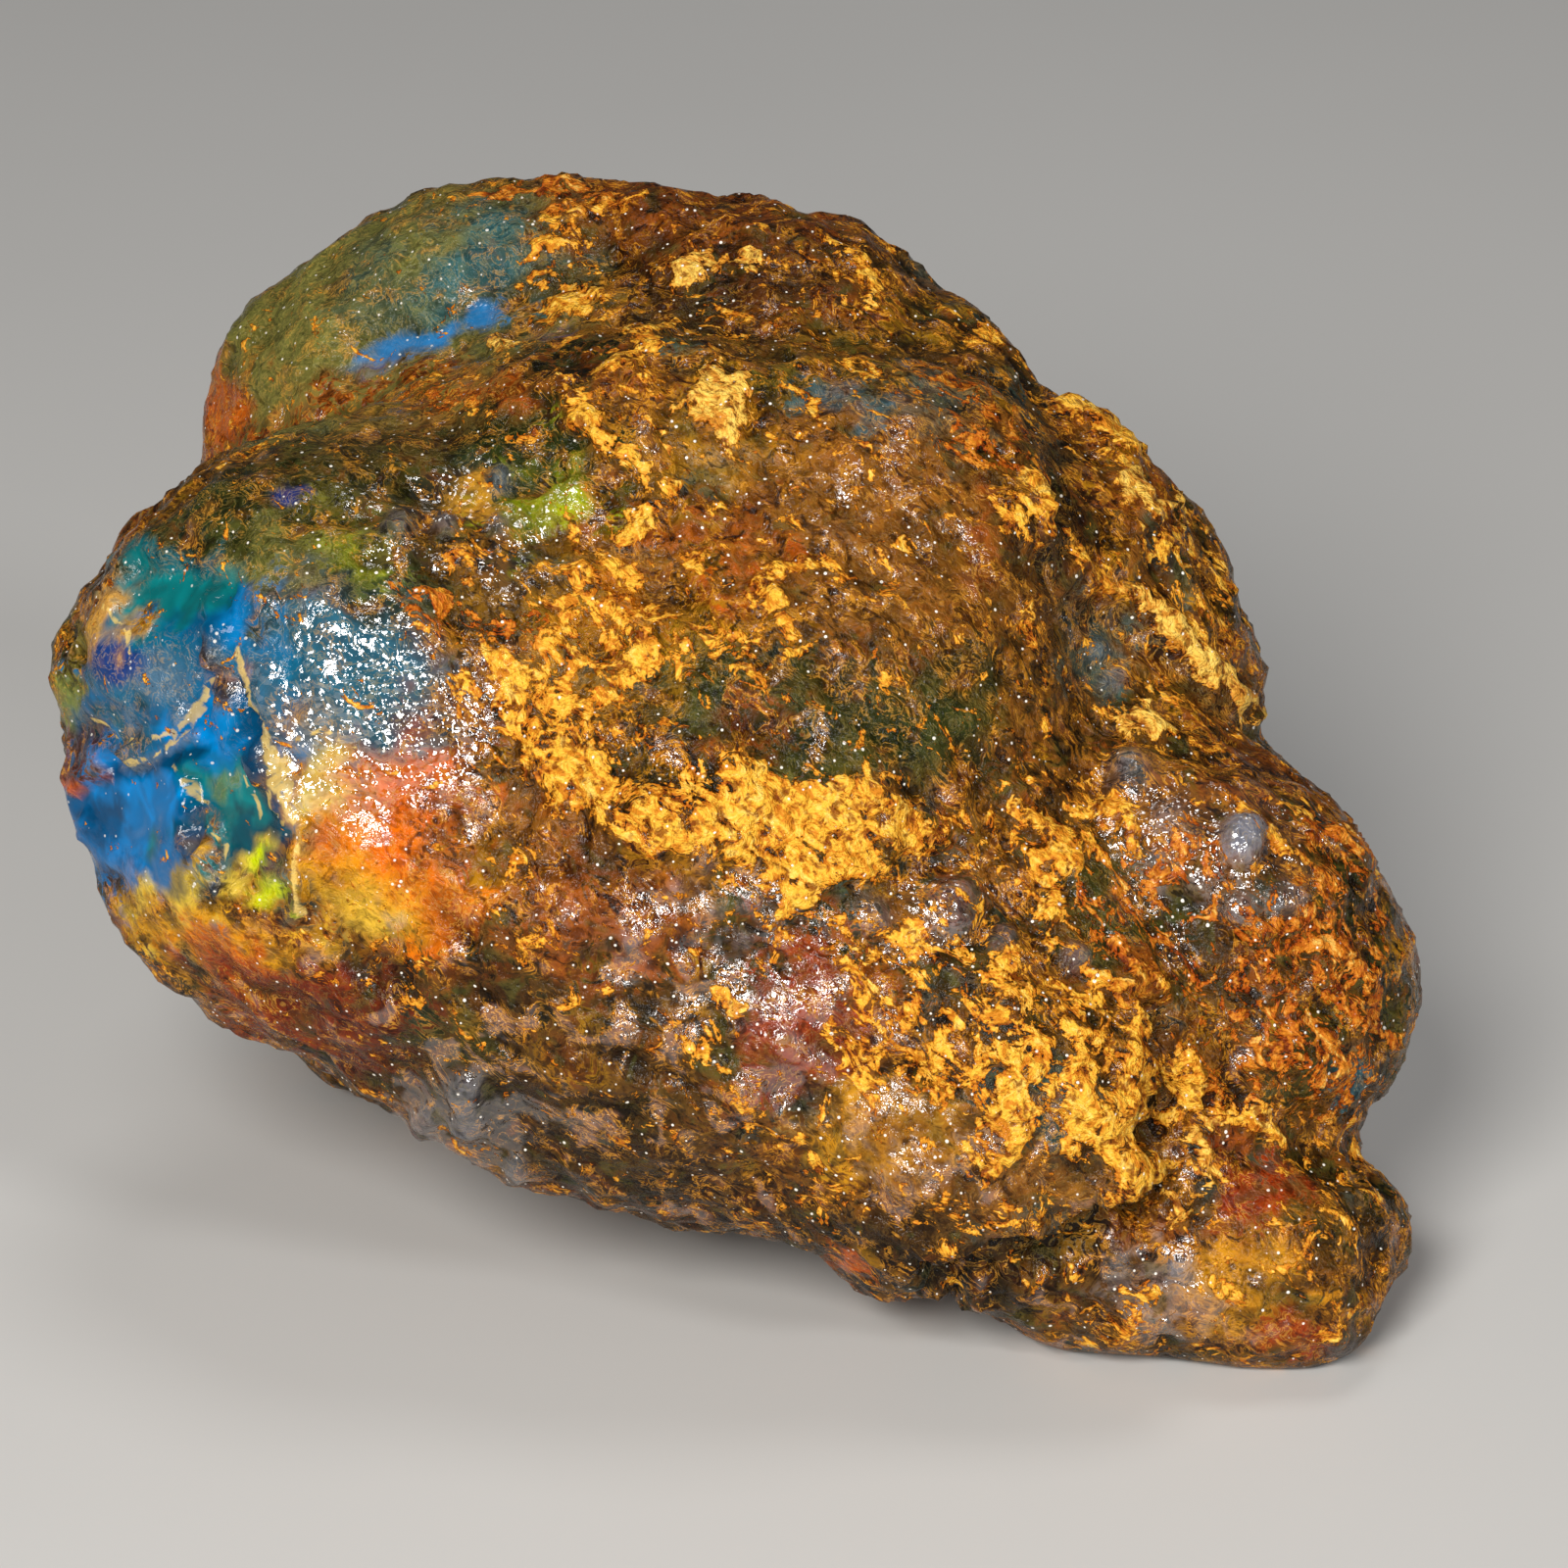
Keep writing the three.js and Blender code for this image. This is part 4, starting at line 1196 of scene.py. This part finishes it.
@dataclass(frozen=True)
class AmberFinish:
    """Wet resin: dark mottled skin, crisp crust and the glassy window."""

    cloud: Clouds = Clouds(2.4, 2.0, 0.6, 0.6)
    speck: Clouds = Clouds(0.8, 3.0, 0.66, 0.4)
    lace: Clouds = Clouds(1.6, 4.0, 0.74, 1.0)
    threads: Clouds = Clouds(1.2, 3.0, 0.7, 1.8)
    flow_turn: Triple = (0.0, 39.0, -23.0)
    flow_stretch: float = 1.45
    noise_middle: float = 0.5
    lace_reach: float = 3.4
    speck_reach: float = 0.9
    crust_edge: Pair = (0.5, 0.56)
    thick_edge: Pair = (0.54, 0.85)
    under_edge: Pair = (0.47, 0.53)
    rusty: Veil = Veil((0.54, 0.66), 0.45, linear(164, 88, 20))
    mossy: Veil = Veil((0.42, 0.32), 0.45, linear(76, 80, 34))
    golden: Veil = Veil((0.0014, 0.0002), 0.8, linear(214, 144, 36))
    golden_edge: Pair = (0.46, 0.6)
    sooty: Veil = Veil((0.44, 0.36), 0.85, linear(18, 12, 6))
    # dark mottle, partly painted shade in the dips of the speck bumps
    pit_mottle_and_shade: Veil = Veil((0.54, 0.4), 0.8, (0.3, 0.26, 0.2, 1.0), "MULTIPLY")
    thin_crust: Colour = (0.7, 0.46, 0.22, 1.0)
    deep_crust: Veil = Veil((0.53, 0.4), 0.85, (0.6, 0.34, 0.12, 1.0), "MULTIPLY")
    pale_crust: Veil = Veil((0.54, 0.66), 0.6, linear(255, 216, 112))
    # dark mottle of the crust, partly painted shade in the dips of its speck grain
    crust_pit_mottle_and_shade: Veil = Veil((0.5, 0.36), 0.9, (0.26, 0.14, 0.05, 1.0), "MULTIPLY")
    wisp_colour: Colour = linear(240, 204, 112)
    wisp_raggedness: float = 1.4
    wisp_edge: Pair = (0.8, 0.4)
    wisp_share: float = 0.65
    hair_edge: Pair = (0.0008, 0.0001)
    hair_share: float = 0.2
    # white dots: pale grains, partly painted glints of light
    grain_and_glint_colour: Colour = linear(255, 248, 236)
    dot_gap: float = 0.74
    dot_raggedness: float = 0.3
    dot_edge: Pair = (0.12, 0.06)
    dot_share: float = 0.95
    calm_dot_loss: float = 0.4
    dome_edge: Pair = (0.7, 0.1)
    window_smoothness: float = 0.93
    bead_smoothness: float = 0.8
    speck_height: float = 0.38
    dome_height: float = 0.15
    crust_height: float = 0.1
    crust_speck_height: float = 0.4
    skin_roughness: float = 0.14
    speck_roughness: float = 0.1
    crust_roughness: float = 0.42
    wet_roughness: float = 0.06
    glass_roughness: float = 0.05
    window_polish: float = 0.6
    dry_shine: float = 0.12
    wet_shine: float = 1.0
    water_film_bending: float = 1.76
    resin_bending: float = 1.54
    film_edge: Pair = (0.6, 0.76)
    bead_film: float = 0.42
    crust_film_loss: float = 0.9
    clear_share: float = 0.4
    clear_edge: Pair = (0.35, 0.6)
    honey: Colour = (0.92, 0.55, 0.16, 1.0)
    honey_density: float = 45.0

    def material(self) -> bpy.types.Material:
        """Makes the material.

        Returns:
            The finished material.
        """
        shader = Shader("amber")
        found = self.read(shader)
        surface = self.surface(found, self.colour(found), self.normal(found))
        honey = {"Color": self.honey, "Density": self.honey_density}
        depth = shader.value("ShaderNodeVolumeAbsorption", {}, honey)
        shader.node("ShaderNodeOutputMaterial", {}, {"Surface": surface, "Volume": depth})
        return shader.made

    def read(self, shader: Shader) -> Patterns:
        """Reads the piece's attributes and lays the noise over it.

        Args:
            shader: The material's nodes.

        Returns:
            The patterns.
        """
        place = shader.place()
        flow = shader.drawn_out(place, self.flow_turn, self.flow_stretch)
        speck = shader.noise(place, self.speck)
        lace = self.lace_reach * (shader.noise(flow, self.lace) - self.noise_middle)
        cover = shader.attribute("crust") + lace + self.speck_reach * (speck - self.noise_middle)
        return Patterns(
            *(shader.attribute(name, "Color") for name in ("tint", "under", "flake")),
            *(shader.attribute(name) for name in ("wisp", "window", "calm", "beads")),
            cloud=shader.noise(place, self.cloud), speck=speck, threads=shader.noise(flow, self.threads),
            cells=shader.cells(place, self.dot_gap), cover=cover, crust=cover.step(*self.crust_edge),
        )

    def colour(self, found: Patterns) -> Value:
        """The colour of every place: skin, pale threads, crust, and white dots of pale grains with painted
        glints.

        Args:
            found: The patterns.

        Returns:
            The colour.
        """
        uneven = found.threads - self.noise_middle
        wisp = (found.wisp + self.wisp_raggedness * uneven).step(*self.wisp_edge) * self.wisp_share
        hair = (uneven * uneven).step(*self.hair_edge) * found.calm * (1.0 - found.window) * self.hair_share
        skin = (wisp + hair).mix(self.skin_colour(found), self.wisp_colour)
        crusted = found.crust.mix(skin, self.crust_colour(found))
        # painted highlight: near-white dots scattered as pale grains and the sparkle of glints on them
        ragged = self.dot_raggedness * (found.cloud - self.noise_middle)
        dot = (found.cells + ragged).step(*self.dot_edge) * (self.dot_share - self.calm_dot_loss * found.calm)
        return dot.mix(crusted, self.grain_and_glint_colour)

    def skin_colour(self, found: Patterns) -> Value:
        """The mottled colour of the bare skin.

        Args:
            found: The patterns.

        Returns:
            The colour.
        """
        lively = 1.0 - found.calm
        ground = (found.threads.step(*self.under_edge) * lively).mix(found.tint, found.under)
        rusty = found.cloud.lay(self.rusty, ground, lively)
        mossy = found.cloud.lay(self.mossy, rusty, lively)
        uneven = found.threads - self.noise_middle
        golden = (uneven * uneven).lay(self.golden, mossy, found.cloud.step(*self.golden_edge) * lively)
        sooty = found.threads.lay(self.sooty, golden, lively)
        # dark mottle, partly painted shade where the speck bumps dip
        return found.speck.lay(self.pit_mottle_and_shade, sooty, lively)

    def crust_colour(self, found: Patterns) -> Value:
        """The golden colour of the crust.

        Args:
            found: The patterns.

        Returns:
            The colour.
        """
        thick = found.cover.step(*self.thick_edge)
        thin = (1.0 - thick).mix(found.flake, self.thin_crust, "MULTIPLY")
        deep = found.threads.lay(self.deep_crust, thin)
        pale = found.threads.lay(self.pale_crust, deep, thick)
        # dark mottle, partly painted shade where the crust's speck grain dips
        return found.speck.lay(self.crust_pit_mottle_and_shade, pale)

    def normal(self, found: Patterns) -> Value:
        """The bumps of the surface: specks, wet beads and the grain of the crust.

        Args:
            found: The patterns.

        Returns:
            The bumped normal.
        """
        dome = found.cells.step(*self.dome_edge)
        soft = (1.0 - self.window_smoothness * found.window) * (1.0 - self.bead_smoothness * found.beads)
        grain = (self.crust_height + self.crust_speck_height * found.speck) * found.crust
        height = self.speck_height * found.speck * soft + self.dome_height * dome * found.beads + grain
        return height.shader.value("ShaderNodeBump", {}, {"Height": height, "Distance": MM, "Strength": 1.0})

    def surface(self, found: Patterns, colour: Value, normal: Value) -> Value:
        """The resin's surface: dry, wet in patches, and partly clear in the window.

        Args:
            found: The patterns.
            colour: The colour.
            normal: The bumped normal.

        Returns:
            The surface.
        """
        rough = self.skin_roughness + self.speck_roughness * found.speck
        rough = rough + (self.crust_roughness - self.skin_roughness) * found.crust
        polished = rough * (1.0 - self.window_polish * found.window)
        dry = self.body(colour, normal, {"Roughness": polished, "Specular IOR Level": self.dry_shine})
        wet = self.body(colour, normal, {
            "Roughness": self.wet_roughness, "Specular IOR Level": self.wet_shine,
            "IOR": self.water_film_bending,
        })
        glass = self.body(colour, normal, {"Roughness": self.glass_roughness, "Transmission Weight": 1.0})
        film = (found.cloud + self.bead_film * found.beads).step(*self.film_edge)
        skin = (film * (1.0 - self.crust_film_loss * found.crust)).blend(dry, wet)
        clear = found.window * self.clear_share * found.cloud.step(*self.clear_edge) * (1.0 - found.crust)
        return clear.blend(skin, glass)

    def body(self, colour: Value, normal: Value, own: dict[object, Input]) -> Value:
        """Adds a Principled shader for resin, with its own inputs where it differs from plain resin."""
        inputs = {"Base Color": colour, "Normal": normal, "IOR": self.resin_bending} | own
        return colour.shader.value("ShaderNodeBsdfPrincipled", {}, inputs)


@dataclass(frozen=True)
class Lamp:
    """One soft lamp, in metres and watts, turned to the lump."""

    name: str
    at: Triple
    size: float
    power: float
    colour: Triple = (1.0, 1.0, 1.0)


@dataclass
class Studio:
    """The pale floor, the soft lamps and the camera."""

    side: ShowSide
    floor_half: float = 1.6
    floor_colour: Colour = (0.62, 0.61, 0.59, 1.0)
    floor_shade: Colour = (0.56, 0.55, 0.53, 1.0)
    floor_clouds: Clouds = Clouds(40.0)
    floor_cloudiness: float = 0.3
    floor_roughness: float = 0.75
    sky: float = 0.08
    sky_colour: Colour = (0.95, 0.96, 1.0, 1.0)
    nearest_seen: float = 0.01
    lamps: tuple[Lamp, ...] = (
        Lamp("key_lamp", (-0.17, -0.49, 0.38), 0.28, 3.8, (1.0, 0.98, 0.95)),
        Lamp("top_lamp", (0.0, 0.12, 0.57), 0.18, 0.5),
        Lamp("side_lamp", (0.42, -0.4, 0.34), 0.12, 1.1),
        Lamp("low_lamp", (0.09, -0.54, 0.12), 0.08, 0.5),
    )

    def floor(self) -> None:
        """Lays the plain pale floor."""
        built = bmesh.new()
        bmesh.ops.create_grid(built, x_segments=1, y_segments=1, size=self.floor_half)
        mesh = bpy.data.meshes.new("floor")
        built.to_mesh(mesh)
        built.free()
        floor = bpy.data.objects.new("floor", mesh)
        bpy.context.scene.collection.objects.link(floor)
        shader = Shader("floor")
        cloudy = shader.noise(shader.place(), self.floor_clouds) * self.floor_cloudiness
        shade = cloudy.mix(self.floor_colour, self.floor_shade)
        paint = {"Base Color": shade, "Roughness": self.floor_roughness}
        cover = shader.value("ShaderNodeBsdfPrincipled", {}, paint)
        shader.node("ShaderNodeOutputMaterial", {}, {"Surface": cover})
        mesh.materials.append(shader.made)

    def light(self) -> None:
        """Hangs the lamps and sets the pale surroundings."""
        middle = Vector(self.side.middle() * MM)
        for lamp in self.lamps:
            data = bpy.data.lights.new(lamp.name, "AREA")
            data.shape = "DISK"
            data.size = lamp.size
            data.energy = lamp.power
            data.color = lamp.colour
            hung = bpy.data.objects.new(lamp.name, data)
            hung.location = lamp.at
            hung.rotation_euler = (middle - Vector(lamp.at)).to_track_quat("-Z", "Y").to_euler()
            bpy.context.scene.collection.objects.link(hung)
        world = bpy.data.worlds.new("pale_room")
        world.use_nodes = True
        air = world.node_tree.nodes["Background"].inputs
        air["Color"].default_value = self.sky_colour
        air["Strength"].default_value = self.sky
        bpy.context.scene.world = world
        bpy.context.scene.view_settings.view_transform = "Standard"

    def camera(self) -> None:
        """Sets the camera where the viewer's eye is."""
        data = bpy.data.cameras.new("camera")
        data.lens = self.side.lens
        data.sensor_width = self.side.sensor
        data.clip_start = self.nearest_seen
        camera = bpy.data.objects.new("camera", data)
        camera.location = Vector(self.side.eye_point() * MM)
        camera.rotation_euler = (math.radians(90.0 - self.side.elevation), 0.0, 0.0)
        bpy.context.scene.collection.objects.link(camera)
        bpy.context.scene.camera = camera


def main() -> None:
    """Builds the lump and its studio, and reports them."""
    logging.basicConfig(level=logging.INFO, format="%(message)s")
    side = ShowSide()
    lump = AmberLump(side).build()
    LOG.info("%s: %d points, %d faces", lump.name, len(lump.data.vertices), len(lump.data.polygons))
    studio = Studio(side)
    studio.floor()
    studio.light()
    studio.camera()


if __name__ == "__main__":
    main()
